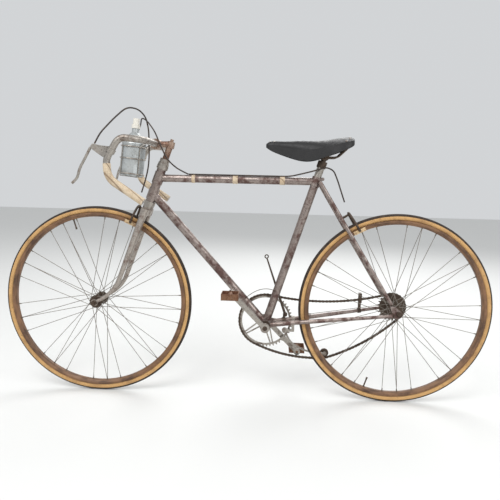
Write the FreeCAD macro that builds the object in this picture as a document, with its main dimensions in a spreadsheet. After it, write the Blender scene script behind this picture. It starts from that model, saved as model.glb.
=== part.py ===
import FreeCAD, Part
import math
import os
from types import SimpleNamespace

import Sketcher

# A racing bicycle of lugged steel tubes with drop bars, sewn tyres on wooden rims and a sprung chain tensioner.
# The front is at -X, the chain is at +Y, +Z is up. Places are worked out from the bottom bracket: x runs back
# from its axis, y to the rider's right, z up from the floor. at() moves them to the origin on the saddle.

doc = FreeCAD.newDocument("Bicycle")
sheet = doc.addObject("Spreadsheet::Sheet", "Sizes")

SIZES = [
    # wheels
    ("wheel_radius", 340.0, "tyre, to its tread"),
    ("tyre_section", 12.0, "tyre, radius of its round section"),
    ("tyre_seat_depth", 22.0, "tread down to the rim's bed"),
    ("rim_depth", 15.0, "wooden rim, bed to inner face"),
    ("rim_width", 22.0, "wooden rim, side to side"),
    ("spokes_per_side", 18.0, "spokes on each flange"),
    ("spoke_radius", 1.0, "spoke"),
    ("flange_radius", 23.0, "hub flange"),
    ("flange_thick", 3.0, "hub flange"),
    ("barrel_radius", 10.0, "hub barrel"),
    ("front_flange_at", 32.0, "front hub, flange from the middle"),
    ("rear_flange_left", 34.0, "rear hub, left flange from the middle"),
    ("rear_flange_right", 22.0, "rear hub, right flange from the middle"),
    ("hub_end", 5.0, "hub, from a flange to its end"),
    ("front_axle_radius", 4.5, "front axle"),
    ("rear_axle_radius", 5.0, "rear axle"),
    ("running", 0.06, "running clearance of a bore on its shaft"),
    ("gap", 0.3, "gap between pieces of different bodies"),
    ("joint", 0.2, "gap between brazed pieces"),
    ("nut_radius", 9.0, "axle nuts"),
    ("nut_length", 8.0, "axle nuts"),
    ("axle_stub", 6.0, "axle beyond its nut"),
    # frame
    ("front_centre", 608.0, "bottom bracket forward to the front axle"),
    ("rear_centre", 456.0, "bottom bracket back to the rear axle"),
    ("bracket_drop", 67.0, "bottom bracket below the axles"),
    ("head_angle", 70.0, "steering axis from the ground"),
    ("seat_angle", 72.5, "seat tube from the ground"),
    ("head_tube_length", 120.0, "head tube"),
    ("head_tube_radius", 16.0, "head tube"),
    ("head_tube_wall", 1.2, "head tube"),
    ("top_tube_radius", 13.0, "top tube"),
    ("down_tube_radius", 14.3, "down tube"),
    ("seat_tube_radius", 14.3, "seat tube"),
    ("tube_wall", 1.1, "main tubes"),
    ("lug_wall", 2.4, "lug around a tube"),
    ("top_lug_drop", 33.0, "head tube's top to the top tube's axis"),
    ("down_lug_rise", 28.0, "head tube's foot to the down tube's axis"),
    ("seat_lug_rise", 16.0, "seat lug above the top tube's axis"),
    ("bracket_radius", 20.0, "bottom bracket shell"),
    ("bracket_bore", 17.0, "bottom bracket shell, inside"),
    ("bracket_half", 34.0, "bottom bracket shell, half its width"),
    ("cup_thick", 7.0, "bearing cups in the bottom bracket"),
    ("chainstay_radius", 9.0, "chainstay at the bracket"),
    ("chainstay_tip", 5.5, "chainstay at the dropout"),
    ("seatstay_radius", 7.5, "seatstay at the seat lug"),
    ("seatstay_tip", 6.0, "seatstay at the dropout"),
    ("dropout_thick", 5.0, "rear dropout plates"),
    ("rear_inner_half", 64.0, "rear dropouts, inner face from the middle"),
    ("bridge_radius", 5.5, "seatstay bridge"),
    ("bridge_down", 0.31, "bridge, share of the way down the seatstays"),
    # fork and headset
    ("fork_rake", 54.0, "front axle ahead of the steering axis"),
    ("crown_clearance", 18.0, "tyre to the crown's underside"),
    ("crown_height", 26.0, "fork crown"),
    ("crown_half_width", 33.0, "blade's axis from the middle, at the crown"),
    ("blade_radius", 12.5, "fork blade at the crown"),
    ("blade_tip", 6.0, "fork blade at the dropout"),
    ("blade_bend_height", 63.0, "bend in the blades, above the axle"),
    ("blade_bend_radius", 150.0, "bend in the blades"),
    ("front_inner_half", 48.0, "front dropouts, inner face from the middle"),
    ("fork_end_thick", 4.0, "front dropout plates"),
    ("fork_end_radius", 12.0, "front dropout plates"),
    ("cup_radius", 20.0, "headset cups"),
    ("cup_height", 13.0, "headset cups"),
    ("race_height", 12.0, "crown race"),
    ("locknut_height", 24.0, "threaded race and locknuts"),
    ("steerer_radius", 12.7, "steerer"),
    ("quill_radius", 11.1, "stem quill"),
    # places of the handlebar
    ("stem_height", 599.0, "bar clamp along the steering axis, above the axle"),
    ("stem_reach", 46.0, "bar clamp ahead of the steering axis"),
    ("stem_radius", 11.0, "stem extension"),
    ("stem_clamp_radius", 18.0, "stem clamp around the bar"),
    ("stem_clamp_width", 40.0, "stem clamp along the bar"),
    ("bar_radius", 11.0, "handlebar"),
    ("bar_half_width", 190.0, "drop from the middle"),
    ("ramp_reach", 75.0, "bar, end of its ramp ahead of the clamp"),
    ("bar_reach", 115.0, "bar, foremost point ahead of the clamp"),
    ("hook_high", 62.0, "bar, start of the hook below the clamp"),
    ("hook_low", 122.0, "bar, end of the hook below the clamp"),
    ("bar_drop", 195.0, "bar, ends below the clamp"),
    ("tape_thick", 1.3, "cotton bar tape"),
    # saddle
    ("saddle_height", 925.0, "floor to the saddle where the rider sits"),
    ("saddle_back", 189.0, "the same point behind the bottom bracket"),
    ("saddle_ahead", 203.0, "nose of the saddle ahead of that point"),
    ("saddle_width", 152.0, "saddle at its rear"),
    ("leather", 5.0, "leather of the saddle"),
    ("rail_radius", 3.5, "saddle rails"),
    ("rail_spread", 22.0, "rails from the middle, in the clamp"),
    ("rail_height", 59.0, "rails in the clamp below the seat"),
    ("seatpost_radius", 13.1, "seatpost"),
    # cranks and chain
    ("crank_length", 170.0, "crank"),
    ("crank_angle", 45.0, "left crank above the front horizontal"),
    ("crank_inner", 54.0, "crank's inner face from the middle"),
    ("crank_thick", 13.0, "crank at its boss"),
    ("crank_boss", 16.0, "crank boss radius"),
    ("crank_eye", 12.0, "crank eye radius"),
    ("spindle_radius", 8.5, "bottom bracket axle"),
    ("pedal_axle_radius", 5.0, "pedal axle"),
    ("pedal_length", 62.0, "pedal barrel"),
    ("pedal_barrel", 9.0, "pedal barrel radius"),
    ("pedal_depth", 58.0, "pedal front to back"),
    ("pedal_height", 22.0, "pedal side plates"),
    ("pitch", 12.7, "chain pitch"),
    ("ring_teeth", 48.0, "chainring"),
    ("sprocket_teeth", 24.0, "sprocket under the chain"),
    ("sprocket_step", 4.0, "teeth fewer on each next sprocket"),
    ("sprocket_spacing", 4.8, "sprockets, middle to middle"),
    ("chain_line", 43.0, "chain from the middle"),
    ("tooth_rise", 2.6, "tooth above the pitch circle"),
    ("tooth_root", 3.6, "tooth root below the pitch circle"),
    ("ring_thick", 3.0, "chainring"),
    ("sprocket_thick", 2.2, "sprocket"),
    ("freewheel_radius", 21.0, "freewheel body"),
    ("chain_width", 8.0, "chain over its plates"),
    ("chain_slot", 4.6, "space between the chain's inner plates"),
    ("plate_half", 4.2, "half the height of a chain plate"),
    ("pulley_pitch", 20.0, "chain's pitch line around the tension pulley"),
    ("pulley_back", 220.0, "tension pulley behind the bottom bracket"),
    ("pulley_down", 114.5, "tension pulley below the bottom bracket"),
    ("belly_radius", 500.0, "lower run before the pulley"),
    ("rise_radius", 700.0, "lower run after the pulley"),
    ("sag_radius", 900.0, "upper run"),
    # brakes, cables, bottle
    ("pad_gap", 5.0, "brake shoe to the rim"),
    ("cable_radius", 2.5, "brake cable housing"),
    ("front_shoe_angle", 66.5, "front shoes round the rim, from the rear horizontal"),
    ("rear_shoe_angle", 63.5, "rear shoes round the rim, from the front horizontal"),
    ("bottle_radius", 41.0, "bottle"),
    ("bottle_body", 112.0, "bottle, base to its shoulder"),
    ("bottle_neck", 12.0, "bottle neck radius"),
    ("bottle_ahead", 91.0, "bottle's base centre ahead of the bar clamp"),
    ("bottle_below", 111.0, "bottle's base below the bar clamp"),
    ("bottle_lean", 6.0, "bottle leaning back"),
    ("cage_wire", 2.0, "bottle cage wire radius"),
]


def fill_sheet():
    for row, (alias, value, meaning) in enumerate(SIZES, 1):
        sheet.set(f"A{row}", alias)
        sheet.set(f"B{row}", str(value))
        sheet.set(f"C{row}", meaning)
        sheet.setAlias(f"B{row}", alias)
    doc.recompute()


fill_sheet()
s = SimpleNamespace(**{alias: float(sheet.get(alias)) for alias, _, _ in SIZES})

# ---------------------------------------------------------------- places

AXLE_Z = s.wheel_radius
BRACKET = FreeCAD.Vector(0, 0, AXLE_Z - s.bracket_drop)
FRONT_AXLE = FreeCAD.Vector(-s.front_centre, 0, AXLE_Z)
REAR_AXLE = FreeCAD.Vector(s.rear_centre, 0, AXLE_Z)
ORIGIN = FreeCAD.Vector(s.saddle_back, 0, s.saddle_height)
ALONG_Y = FreeCAD.Vector(0, 1, 0)

head = math.radians(s.head_angle)
STEER_UP = FreeCAD.Vector(math.cos(head), 0, math.sin(head))
STEER_AHEAD = FreeCAD.Vector(-math.sin(head), 0, math.cos(head))
STEER_FOOT = FRONT_AXLE - STEER_AHEAD * s.fork_rake
seat = math.radians(s.seat_angle)
SEAT_UP = FreeCAD.Vector(math.cos(seat), 0, math.sin(seat))

TYRE_TOP = math.sqrt(s.wheel_radius ** 2 - s.fork_rake ** 2)
CROWN_FOOT = TYRE_TOP + s.crown_clearance
CROWN_TOP = CROWN_FOOT + s.crown_height
HEAD_FOOT = CROWN_TOP + s.race_height + s.gap + s.cup_height
HEAD_TOP = HEAD_FOOT + s.head_tube_length
CUP_TOP = HEAD_TOP + s.cup_height
LOCKNUT_TOP = CUP_TOP + s.gap + s.locknut_height


def at(x, y, z):
    """A place given from the bottom bracket and the floor, in the part's own frame."""
    return FreeCAD.Vector(x, y, z) - ORIGIN


def moved(place):
    return place - ORIGIN


def steer(up, ahead=0.0, side=0.0):
    """A place on the fork: up the steering axis from the axle's level, ahead of it and to the side."""
    return STEER_FOOT + STEER_UP * up + STEER_AHEAD * ahead + ALONG_Y * side


TOP_TUBE_HEAD = steer(HEAD_TOP - s.top_lug_drop)
DOWN_TUBE_HEAD = steer(HEAD_FOOT + s.down_lug_rise)
SEAT_CLUSTER = BRACKET + SEAT_UP * ((TOP_TUBE_HEAD.z - BRACKET.z) / SEAT_UP.z)
SEAT_LUG_TOP = SEAT_CLUSTER + SEAT_UP * s.seat_lug_rise
BAR_CLAMP = steer(s.stem_height, s.stem_reach)
RAIL_Z = s.saddle_height - s.rail_height
POST_TOP = BRACKET + SEAT_UP * ((RAIL_Z - 14 - BRACKET.z) / SEAT_UP.z)
RING_PITCH = s.pitch / 2 / math.sin(math.pi / s.ring_teeth)
SPROCKET_PITCH = s.pitch / 2 / math.sin(math.pi / s.sprocket_teeth)
RIM_MIDDLE = s.wheel_radius - s.tyre_seat_depth - s.rim_depth / 2

# ---------------------------------------------------------------- ways of making pieces

nodes = {}


def node(label, piece):
    """Keeps a piece to be written out under its own name."""
    piece.Label = label
    nodes[label] = piece
    return piece


def turn_to(direction):
    return FreeCAD.Rotation(FreeCAD.Vector(0, 0, 1), direction)


def rod(name, radius, start, end):
    """A round bar between two places; the radius is an expression on the sheet."""
    bar = doc.addObject("Part::Cylinder", name)
    bar.setExpression("Radius", radius)
    bar.Height = (end - start).Length
    bar.Placement = FreeCAD.Placement(moved(start), turn_to(end - start))
    return bar


def taper(name, radius_start, radius_end, start, end):
    """A tapered round bar between two places."""
    bar = doc.addObject("Part::Cone", name)
    bar.setExpression("Radius1", radius_start)
    bar.setExpression("Radius2", radius_end)
    bar.Height = (end - start).Length
    bar.Placement = FreeCAD.Placement(moved(start), turn_to(end - start))
    return bar


def block(name, size, centre, rotation=None):
    """A box about its centre."""
    box = doc.addObject("Part::Box", name)
    box.Length, box.Width, box.Height = size
    turn = rotation or FreeCAD.Rotation()
    box.Placement = FreeCAD.Placement(moved(centre) - turn.multVec(FreeCAD.Vector(*size) * 0.5), turn)
    return box


def cut(name, base, *tools):
    piece = base
    for count, tool in enumerate(tools):
        step = doc.addObject("Part::Cut", f"{name}_{count}")
        step.Base = piece
        step.Tool = tool
        piece = step
    return piece


def fuse(name, *pieces):
    joined = doc.addObject("Part::MultiFuse", name)
    joined.Shapes = list(pieces)
    joined.Refine = True
    return joined


def both(name, left):
    """The piece and its mirror image on the bicycle's other side."""
    other = doc.addObject("Part::Mirroring", f"{name}_other")
    other.Source = left
    other.Normal = ALONG_Y
    other.Base = FreeCAD.Vector(0, 0, 0)
    return bundle(name, left, other)


def bundle(name, *pieces):
    """Like pieces that don't touch, kept under one name."""
    group = doc.addObject("Part::Compound", name)
    group.Links = list(pieces)
    return group


def shaped(name, shape):
    """A piece whose shape no single feature makes; its points already are in the part's frame."""
    piece = doc.addObject("Part::Feature", name)
    piece.Shape = shape
    return piece


def tube(name, outer, wall, start, end):
    """A hollow tube between two places."""
    return cut(name, rod(f"{name}_outside", outer, start, end),
               rod(f"{name}_inside", f"{outer} - {wall}", start, end))


def rounded_path(points, radii):
    """Straight runs through the points, joined by tangent arcs of the given radii."""
    edges = []
    last = points[0]
    for before, corner, after, radius in zip(points, points[1:], points[2:], radii):
        into = (before - corner).normalize()
        away = (after - corner).normalize()
        turn = math.pi - into.getAngle(away)
        reach = radius * math.tan(turn / 2)
        start = corner + into * reach
        end = corner + away * reach
        middle = corner + (into + away).normalize() * (radius / math.cos(turn / 2) - radius)
        if (start - last).Length > 1e-3:
            edges.append(Part.LineSegment(last, start).toShape())
        edges.append(Part.Arc(start, middle, end).toShape())
        last = end
    edges.append(Part.LineSegment(last, points[-1]).toShape())
    return Part.Wire(edges)


def even_radii(points):
    """The largest arc that the two runs beside each corner allow."""
    radii = []
    for before, corner, after in zip(points, points[1:], points[2:]):
        turn = math.pi - (before - corner).getAngle(after - corner)
        run = min((before - corner).Length, (after - corner).Length)
        radii.append(0.45 * run / math.tan(turn / 2))
    return radii


def swept(points, radius, radii=None, tip=None):
    """A round bar along a rounded path; tip is the radius at its far end where it tapers."""
    points = [moved(point) for point in points]
    path = rounded_path(points, radii or even_radii(points))
    start = Part.Wire(Part.makeCircle(radius, points[0], points[1] - points[0]))
    sections = [start]
    if tip:
        sections.append(Part.Wire(Part.makeCircle(tip, points[-1], points[-1] - points[-2])))
    return path.makePipeShell(sections, True, False)


def cord(name, points):
    """A cable housing along its route; its volume must be its section times its length."""
    moved_points = [moved(point) for point in points]
    radii = even_radii(moved_points)
    path = rounded_path(moved_points, radii)
    shape = swept(points, s.cable_radius)
    ratio = shape.Volume / (math.pi * s.cable_radius ** 2 * path.Length)
    print(f"{name}: length {path.Length:.0f} mm, volume ratio {ratio:.4f}, radii",
          " ".join(f"{radius:.0f}" for radius in radii))
    return shaped(name, shape)


def plane_of(body, role):
    return next(plane for plane in body.Origin.OriginFeatures if plane.Role == role)


def outline(body, corners, role="XY_Plane"):
    """A closed sketch whose every corner is bound to the sheet by two distances."""
    sketch = body.newObject("Sketcher::SketchObject", f"{body.Name}_outline")
    sketch.AttachmentSupport = (plane_of(body, role), [""])
    sketch.MapMode = "FlatFace"
    places = [FreeCAD.Vector(float(sheet.evalExpression(x)), float(sheet.evalExpression(y)), 0)
              for x, y in corners]
    for start, end in zip(places, places[1:] + places[:1]):
        sketch.addGeometry(Part.LineSegment(start, end))
    count = len(corners)
    for line in range(count):
        sketch.addConstraint(Sketcher.Constraint("Coincident", line, 2, (line + 1) % count, 1))
    for line, (corner, place) in enumerate(zip(corners, places)):
        for kind, expression, value in zip(("DistanceX", "DistanceY"), corner, place):
            index = sketch.addConstraint(Sketcher.Constraint(kind, -1, 1, line, 1, value))
            sketch.setExpression(f"Constraints[{index}]", expression)
    return sketch


def turned(name, corners, centre):
    """A body turned about the y direction through centre; corners are (radius, along y)."""
    body = doc.addObject("PartDesign::Body", name)
    sketch = outline(body, corners)
    feature = body.newObject("PartDesign::Revolution", f"{name}_turn")
    feature.Profile = sketch
    feature.ReferenceAxis = (sketch, ["V_Axis"])
    feature.Angle = 360
    body.Tip = feature
    body.Placement = FreeCAD.Placement(moved(centre), FreeCAD.Rotation())
    return body


def toothed(name, teeth, inner, outer_hole, thick, centre, first_gap):
    """A toothed disc in the plane of the chain: a round disc, one gap between teeth, and its pattern."""
    pitch_radius = f"(Sizes.pitch / 2 / sin(180 / ({teeth})))"
    body = turned(name, [(inner, f"-({thick}) / 2"), (outer_hole, f"-({thick}) / 2"),
                         (outer_hole, f"({thick}) / 2"), (inner, f"({thick}) / 2")], centre)
    gap = body.newObject("Sketcher::SketchObject", f"{name}_gap")
    gap.AttachmentSupport = (plane_of(body, "XZ_Plane"), [""])
    gap.MapMode = "FlatFace"
    root = f"{pitch_radius} - Sizes.tooth_root"
    tip = f"{pitch_radius} + Sizes.tooth_rise + 1"
    half_root = "Sizes.pitch * 0.22"
    half_tip = "Sizes.pitch * 0.42"
    corners = [(f"-{half_root}", root), (half_root, root), (half_tip, tip), (f"-{half_tip}", tip)]
    places = [FreeCAD.Vector(float(gap.evalExpression(x)), float(gap.evalExpression(y)), 0)
              for x, y in corners]
    for start, end in zip(places, places[1:] + places[:1]):
        gap.addGeometry(Part.LineSegment(start, end))
    for line in range(4):
        gap.addConstraint(Sketcher.Constraint("Coincident", line, 2, (line + 1) % 4, 1))
    for line, (corner, place) in enumerate(zip(corners, places)):
        for kind, expression, value in zip(("DistanceX", "DistanceY"), corner, place):
            index = gap.addConstraint(Sketcher.Constraint(kind, -1, 1, line, 1, value))
            gap.setExpression(f"Constraints[{index}]", expression)
    doc.recompute()
    whole = body.Shape.Volume
    pocket = body.newObject("PartDesign::Pocket", f"{name}_tooth_gap")
    pocket.Profile = gap
    pocket.Type = "ThroughAll"
    pocket.Midplane = True
    body.Tip = pocket
    doc.recompute()
    assert body.Shape.Volume < whole - 1, f"{name}: the tooth gap cut nothing"
    pattern = body.newObject("PartDesign::PolarPattern", f"{name}_teeth")
    pattern.Originals = [pocket]
    pattern.Axis = (plane_of(body, "Y_Axis"), [""])
    pattern.Angle = 360
    pattern.setExpression("Occurrences", teeth)
    body.Tip = pattern
    turn = FreeCAD.Rotation(ALONG_Y, first_gap)
    body.Placement = FreeCAD.Placement(moved(centre), turn)
    return body


# ---------------------------------------------------------------- wheels

BED = "(Sizes.wheel_radius - Sizes.tyre_seat_depth)"


def tyre(name, centre):
    """A round sewn tyre whose inner side lies flat on the rim's bed."""
    ring = doc.addObject("Part::Torus", f"{name}_ring")
    ring.setExpression("Radius1", "Sizes.wheel_radius - Sizes.tyre_section")
    ring.setExpression("Radius2", "Sizes.tyre_section")
    ring.Placement = FreeCAD.Placement(moved(centre), turn_to(ALONG_Y))
    bed = rod(f"{name}_bed", f"{BED} + Sizes.joint", centre - ALONG_Y * s.rim_width,
              centre + ALONG_Y * s.rim_width)
    node(name, cut(name, ring, bed))


def rim(name, centre):
    """A wooden rim: flat bed under the tyre, sides drawn in to a narrower inner face."""
    inner = f"{BED} - Sizes.rim_depth"
    shoulder = f"{BED} - Sizes.rim_depth * 0.45"
    corners = [(inner, "-Sizes.rim_width * 0.27"), (shoulder, "-Sizes.rim_width / 2"),
               (BED, "-Sizes.rim_width / 2"), (BED, "Sizes.rim_width / 2"),
               (shoulder, "Sizes.rim_width / 2"), (inner, "Sizes.rim_width * 0.27")]
    node(name, turned(name, corners, centre))


def hub(name, centre, left, right, axle):
    """A turned hub with two flanges; left and right are the flanges' distances from the middle."""
    flange = "Sizes.flange_radius"
    barrel = "Sizes.barrel_radius"
    bore = f"{axle} + Sizes.running"
    half = "Sizes.flange_thick / 2"
    corners = [(bore, f"-{left} - Sizes.hub_end"), (barrel, f"-{left} - Sizes.hub_end"),
               (barrel, f"-{left} - {half}"), (flange, f"-{left} - {half}"),
               (flange, f"-{left} + {half}"), (barrel, f"-{left} + {half}"),
               (barrel, f"{right} - {half}"), (flange, f"{right} - {half}"),
               (flange, f"{right} + {half}"), (barrel, f"{right} + {half}"),
               (barrel, f"{right} + Sizes.hub_end"), (bore, f"{right} + Sizes.hub_end")]
    node(name, turned(name, corners, centre))


def spokes(name, centre, left, right):
    """Straight spokes laced over three others, heads in turn outside and inside each flange."""
    rim_radius = s.wheel_radius - s.tyre_seat_depth - s.rim_depth - s.joint
    hole_radius = s.flange_radius - 3.5
    off_face = s.flange_thick / 2 + s.spoke_radius + 0.9
    count = int(s.spokes_per_side)
    bars = []
    for side, distance in ((-1, left), (1, right)):
        for spoke in range(count):
            turn = 1 if spoke % 2 else -1
            outward = off_face if spoke % 2 else -off_face
            hub_angle = 2 * math.pi * (spoke + (0.5 if side > 0 else 0)) / count
            sweep = turn * 2 * math.pi * 3 / count
            rim_angle = hub_angle + sweep + turn * math.pi / count / 2
            start = FreeCAD.Vector(hole_radius * math.sin(hub_angle), side * (distance + outward),
                                   hole_radius * math.cos(hub_angle))
            end = FreeCAD.Vector(rim_radius * math.sin(rim_angle), side * (1.6 + 0.6 * turn),
                                 rim_radius * math.cos(rim_angle))
            bars.append(rod(f"{name}_{'left' if side < 0 else 'right'}_{spoke}", "Sizes.spoke_radius",
                            centre + start, centre + end))
    node(name, bundle(name, *bars))


def axle(name, centre, radius, left_cone, right_cone, inner_half, plate):
    """A fixed axle with its cones inside the dropouts and its nuts outside them."""
    cone = "Sizes.nut_radius - 1"
    nut = "Sizes.nut_radius"
    inner = f"({inner_half} - Sizes.joint)"
    outer = f"({inner_half} + {plate} + Sizes.joint)"
    nut_end = f"({outer} + Sizes.nut_length)"
    end = f"({nut_end} + Sizes.axle_stub)"
    corners = [("0", f"-{end}"), (radius, f"-{end}"), (radius, f"-{nut_end}"), (nut, f"-{nut_end}"),
               (nut, f"-{outer}"), (radius, f"-{outer}"), (radius, f"-{inner}"), (cone, f"-{inner}"),
               (cone, f"-({left_cone} + Sizes.gap)"), (radius, f"-({left_cone} + Sizes.gap)"),
               (radius, f"({right_cone} + Sizes.gap)"), (cone, f"({right_cone} + Sizes.gap)"),
               (cone, inner), (radius, inner), (radius, outer), (nut, outer),
               (nut, nut_end), (radius, nut_end), (radius, end), ("0", end)]
    node(name, turned(name, corners, centre))


def make_wheels():
    for which, centre, left, right, shaft in (
            ("front", FRONT_AXLE, "front_flange_at", "front_flange_at", "front_axle_radius"),
            ("rear", REAR_AXLE, "rear_flange_left", "rear_flange_right", "rear_axle_radius")):
        tyre(f"{which}_tyre", centre)
        rim(f"{which}_rim", centre)
        hub(f"{which}_hub", centre, f"Sizes.{left}", f"Sizes.{right}", f"Sizes.{shaft}")
        spokes(f"{which}_spokes", centre, getattr(s, left), getattr(s, right))
    axle("front_axle", FRONT_AXLE, "Sizes.front_axle_radius",
         "Sizes.front_flange_at + Sizes.hub_end", "Sizes.front_flange_at + Sizes.hub_end",
         "Sizes.front_inner_half", "Sizes.fork_end_thick")
    axle("rear_axle", REAR_AXLE, "Sizes.rear_axle_radius",
         "Sizes.rear_flange_left + Sizes.hub_end", FREEWHEEL_END, "Sizes.rear_inner_half", "Sizes.dropout_thick")


# ---------------------------------------------------------------- drive

FREEWHEEL_START = "(Sizes.rear_flange_right + Sizes.hub_end + Sizes.gap)"
FREEWHEEL_END = "(Sizes.chain_line + 2 * Sizes.sprocket_spacing + 2.4)"


def make_freewheel():
    body = turned("freewheel_body", [
        ("Sizes.rear_axle_radius + Sizes.running", FREEWHEEL_START),
        ("Sizes.freewheel_radius", FREEWHEEL_START), ("Sizes.freewheel_radius", FREEWHEEL_END),
        ("Sizes.rear_axle_radius + Sizes.running", FREEWHEEL_END)], REAR_AXLE)
    node("freewheel_body", body)
    discs = []
    for number in range(3):
        teeth = f"Sizes.sprocket_teeth - {number} * Sizes.sprocket_step"
        tip = f"Sizes.pitch / 2 / sin(180 / ({teeth})) + Sizes.tooth_rise"
        centre = REAR_AXLE + ALONG_Y * (s.chain_line + number * s.sprocket_spacing)
        discs.append(toothed(f"sprocket_{number}", teeth, "Sizes.freewheel_radius + Sizes.joint", tip,
                             "Sizes.sprocket_thick", centre, 0))
    node("sprockets", bundle("sprockets", *discs))


def make_chainring():
    """The toothed ring, carried by five pairs of slender arms from a boss on the right crank."""
    centre = BRACKET + ALONG_Y * s.chain_line
    root = RING_PITCH - s.tooth_root
    ring_inside = root - 7
    teeth = toothed("chainring_teeth", "Sizes.ring_teeth", str(ring_inside),
                    "Sizes.pitch / 2 / sin(180 / Sizes.ring_teeth) + Sizes.tooth_rise",
                    "Sizes.ring_thick", centre, 0)
    half = ALONG_Y * (s.ring_thick / 2)
    boss = rod("chainring_boss", "24", centre - half, centre + half)
    arms = []
    for arm in range(5):
        for lean in (-9, 9):
            turn = FreeCAD.Rotation(ALONG_Y, 72 * arm + 20)
            out = turn.multVec(FreeCAD.Vector(0, 0, 1))
            across = turn.multVec(FreeCAD.Vector(1, 0, 0))
            start = centre + out * 19 + across * lean
            end = centre + out * (ring_inside + 3) + across * lean * 0.45
            length = (end - start).Length
            arms.append(block(f"chainring_arm_{arm}_{lean + 9}", (5, s.ring_thick, length),
                              (start + end) * 0.5, level_in_chain_plane(end - start)))
    joined = fuse("chainring_whole", teeth, boss, *arms)
    bore = rod("chainring_bore", "Sizes.spindle_radius", centre - half * 4, centre + half * 4)
    node("chainring", cut("chainring", joined, bore))


def level_in_chain_plane(direction):
    """A turn about y that stands a box's height along a direction in the bicycle's plane."""
    return FreeCAD.Rotation(ALONG_Y, math.degrees(math.atan2(direction.x, direction.z)))


def crank(name, side, angle):
    """A flat steel arm from its boss on the axle to the pedal's eye."""
    direction = FreeCAD.Vector(-math.cos(angle), 0, math.sin(angle))
    inner = BRACKET + ALONG_Y * side * s.crank_inner
    outer = BRACKET + ALONG_Y * side * (s.crank_inner + s.crank_thick)
    eye = direction * s.crank_length
    boss = rod(f"{name}_boss", "Sizes.crank_boss", inner, outer)
    pedal_eye = rod(f"{name}_eye", "Sizes.crank_eye", inner + eye, outer + eye)
    middle = (inner + outer) * 0.5 + eye * 0.5
    arm = block(f"{name}_arm", (17, s.crank_thick - 3, s.crank_length), middle,
                level_in_chain_plane(direction))
    whole = fuse(f"{name}_whole", boss, pedal_eye, arm)
    step = ALONG_Y * side * 2
    axle_hole = rod(f"{name}_axle_hole", "Sizes.spindle_radius", inner - step, outer + step)
    pedal_hole = rod(f"{name}_pedal_hole", "Sizes.pedal_axle_radius", inner + eye - step,
                     outer + eye + step)
    return cut(name, whole, axle_hole, pedal_hole), BRACKET + eye


def pedal(which, side, centre):
    """A quill pedal: a barrel on the axle, two toothed side plates and two end plates."""
    start = s.crank_inner + s.crank_thick + 3
    end = start + s.pedal_length
    shaft_start = centre + ALONG_Y * side * s.crank_inner
    shaft_end = centre + ALONG_Y * side * (end - 4)
    shaft = rod(f"{which}_pedal_axle", "Sizes.pedal_axle_radius", shaft_start, shaft_end)
    inner = centre + ALONG_Y * side * start
    outer = centre + ALONG_Y * side * end
    barrel = rod(f"{which}_barrel", "Sizes.pedal_barrel", inner, outer)
    bore = rod(f"{which}_bore", "Sizes.pedal_axle_radius + Sizes.running", inner - ALONG_Y * side,
               centre + ALONG_Y * side * (end - 3))
    barrel = cut(f"{which}_pedal_barrel", barrel, bore)
    plates = []
    depth = s.pedal_depth
    for number, along in enumerate((start + 4, end - 4)):
        plates.append(block(f"{which}_end_{number}", (depth, 2, s.pedal_height),
                            centre + ALONG_Y * side * along))
    for number, front in enumerate((-1, 1)):
        middle = centre + ALONG_Y * side * (start + end) / 2 + FreeCAD.Vector(front * (depth / 2 - 1), 0, 0)
        plates.append(block(f"{which}_side_{number}", (2, s.pedal_length - 4, s.pedal_height), middle))
    hole = rod(f"{which}_cage_hole", "Sizes.pedal_barrel + Sizes.joint", inner - ALONG_Y * side,
               outer + ALONG_Y * side)
    cage = cut(f"{which}_pedal_cage", fuse(f"{which}_plates", *plates), hole)
    node(f"{which}_pedal", bundle(f"{which}_pedal", barrel, cage))
    return shaft


def make_cranks():
    reach = s.crank_inner + s.crank_thick
    node("crank_axle",
         rod("crank_axle", "Sizes.spindle_radius", BRACKET - ALONG_Y * reach, BRACKET + ALONG_Y * reach))
    angle = math.radians(s.crank_angle)
    left, left_eye = crank("left_crank", -1, angle)
    right, right_eye = crank("right_crank", 1, angle + math.pi)
    node("cranks", bundle("cranks", left, right))
    node("pedal_axles", bundle("pedal_axles", pedal("left", -1, left_eye), pedal("right", 1, right_eye)))


def tangent_centre(first, first_distance, second, second_distance, side):
    """The point at two given distances from two centres, on the given side of the line between them."""
    line = second - first
    span = line.Length
    along = (first_distance ** 2 - second_distance ** 2 + span ** 2) / (2 * span)
    off = math.sqrt(first_distance ** 2 - along ** 2) * side
    unit = line * (1 / span)
    return first + unit * along + FreeCAD.Vector(-unit.z, 0, unit.x) * off


def chain_circles():
    """Centres and pitch radii of the six arcs of the chain, in order; the last, above the upper run, is outside."""
    ring = FreeCAD.Vector(BRACKET)
    pulley = BRACKET + FreeCAD.Vector(s.pulley_back, 0, -s.pulley_down)
    cog = FreeCAD.Vector(REAR_AXLE)
    belly = tangent_centre(ring, s.belly_radius - RING_PITCH, pulley, s.belly_radius - s.pulley_pitch, 1)
    rise = tangent_centre(pulley, s.rise_radius - s.pulley_pitch, cog, s.rise_radius - SPROCKET_PITCH, 1)
    sag = tangent_centre(ring, s.sag_radius + RING_PITCH, cog, s.sag_radius + SPROCKET_PITCH, 1)
    return [(ring, RING_PITCH), (belly, s.belly_radius), (pulley, s.pulley_pitch), (rise, s.rise_radius),
            (cog, SPROCKET_PITCH), (sag, -s.sag_radius)]


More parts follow.
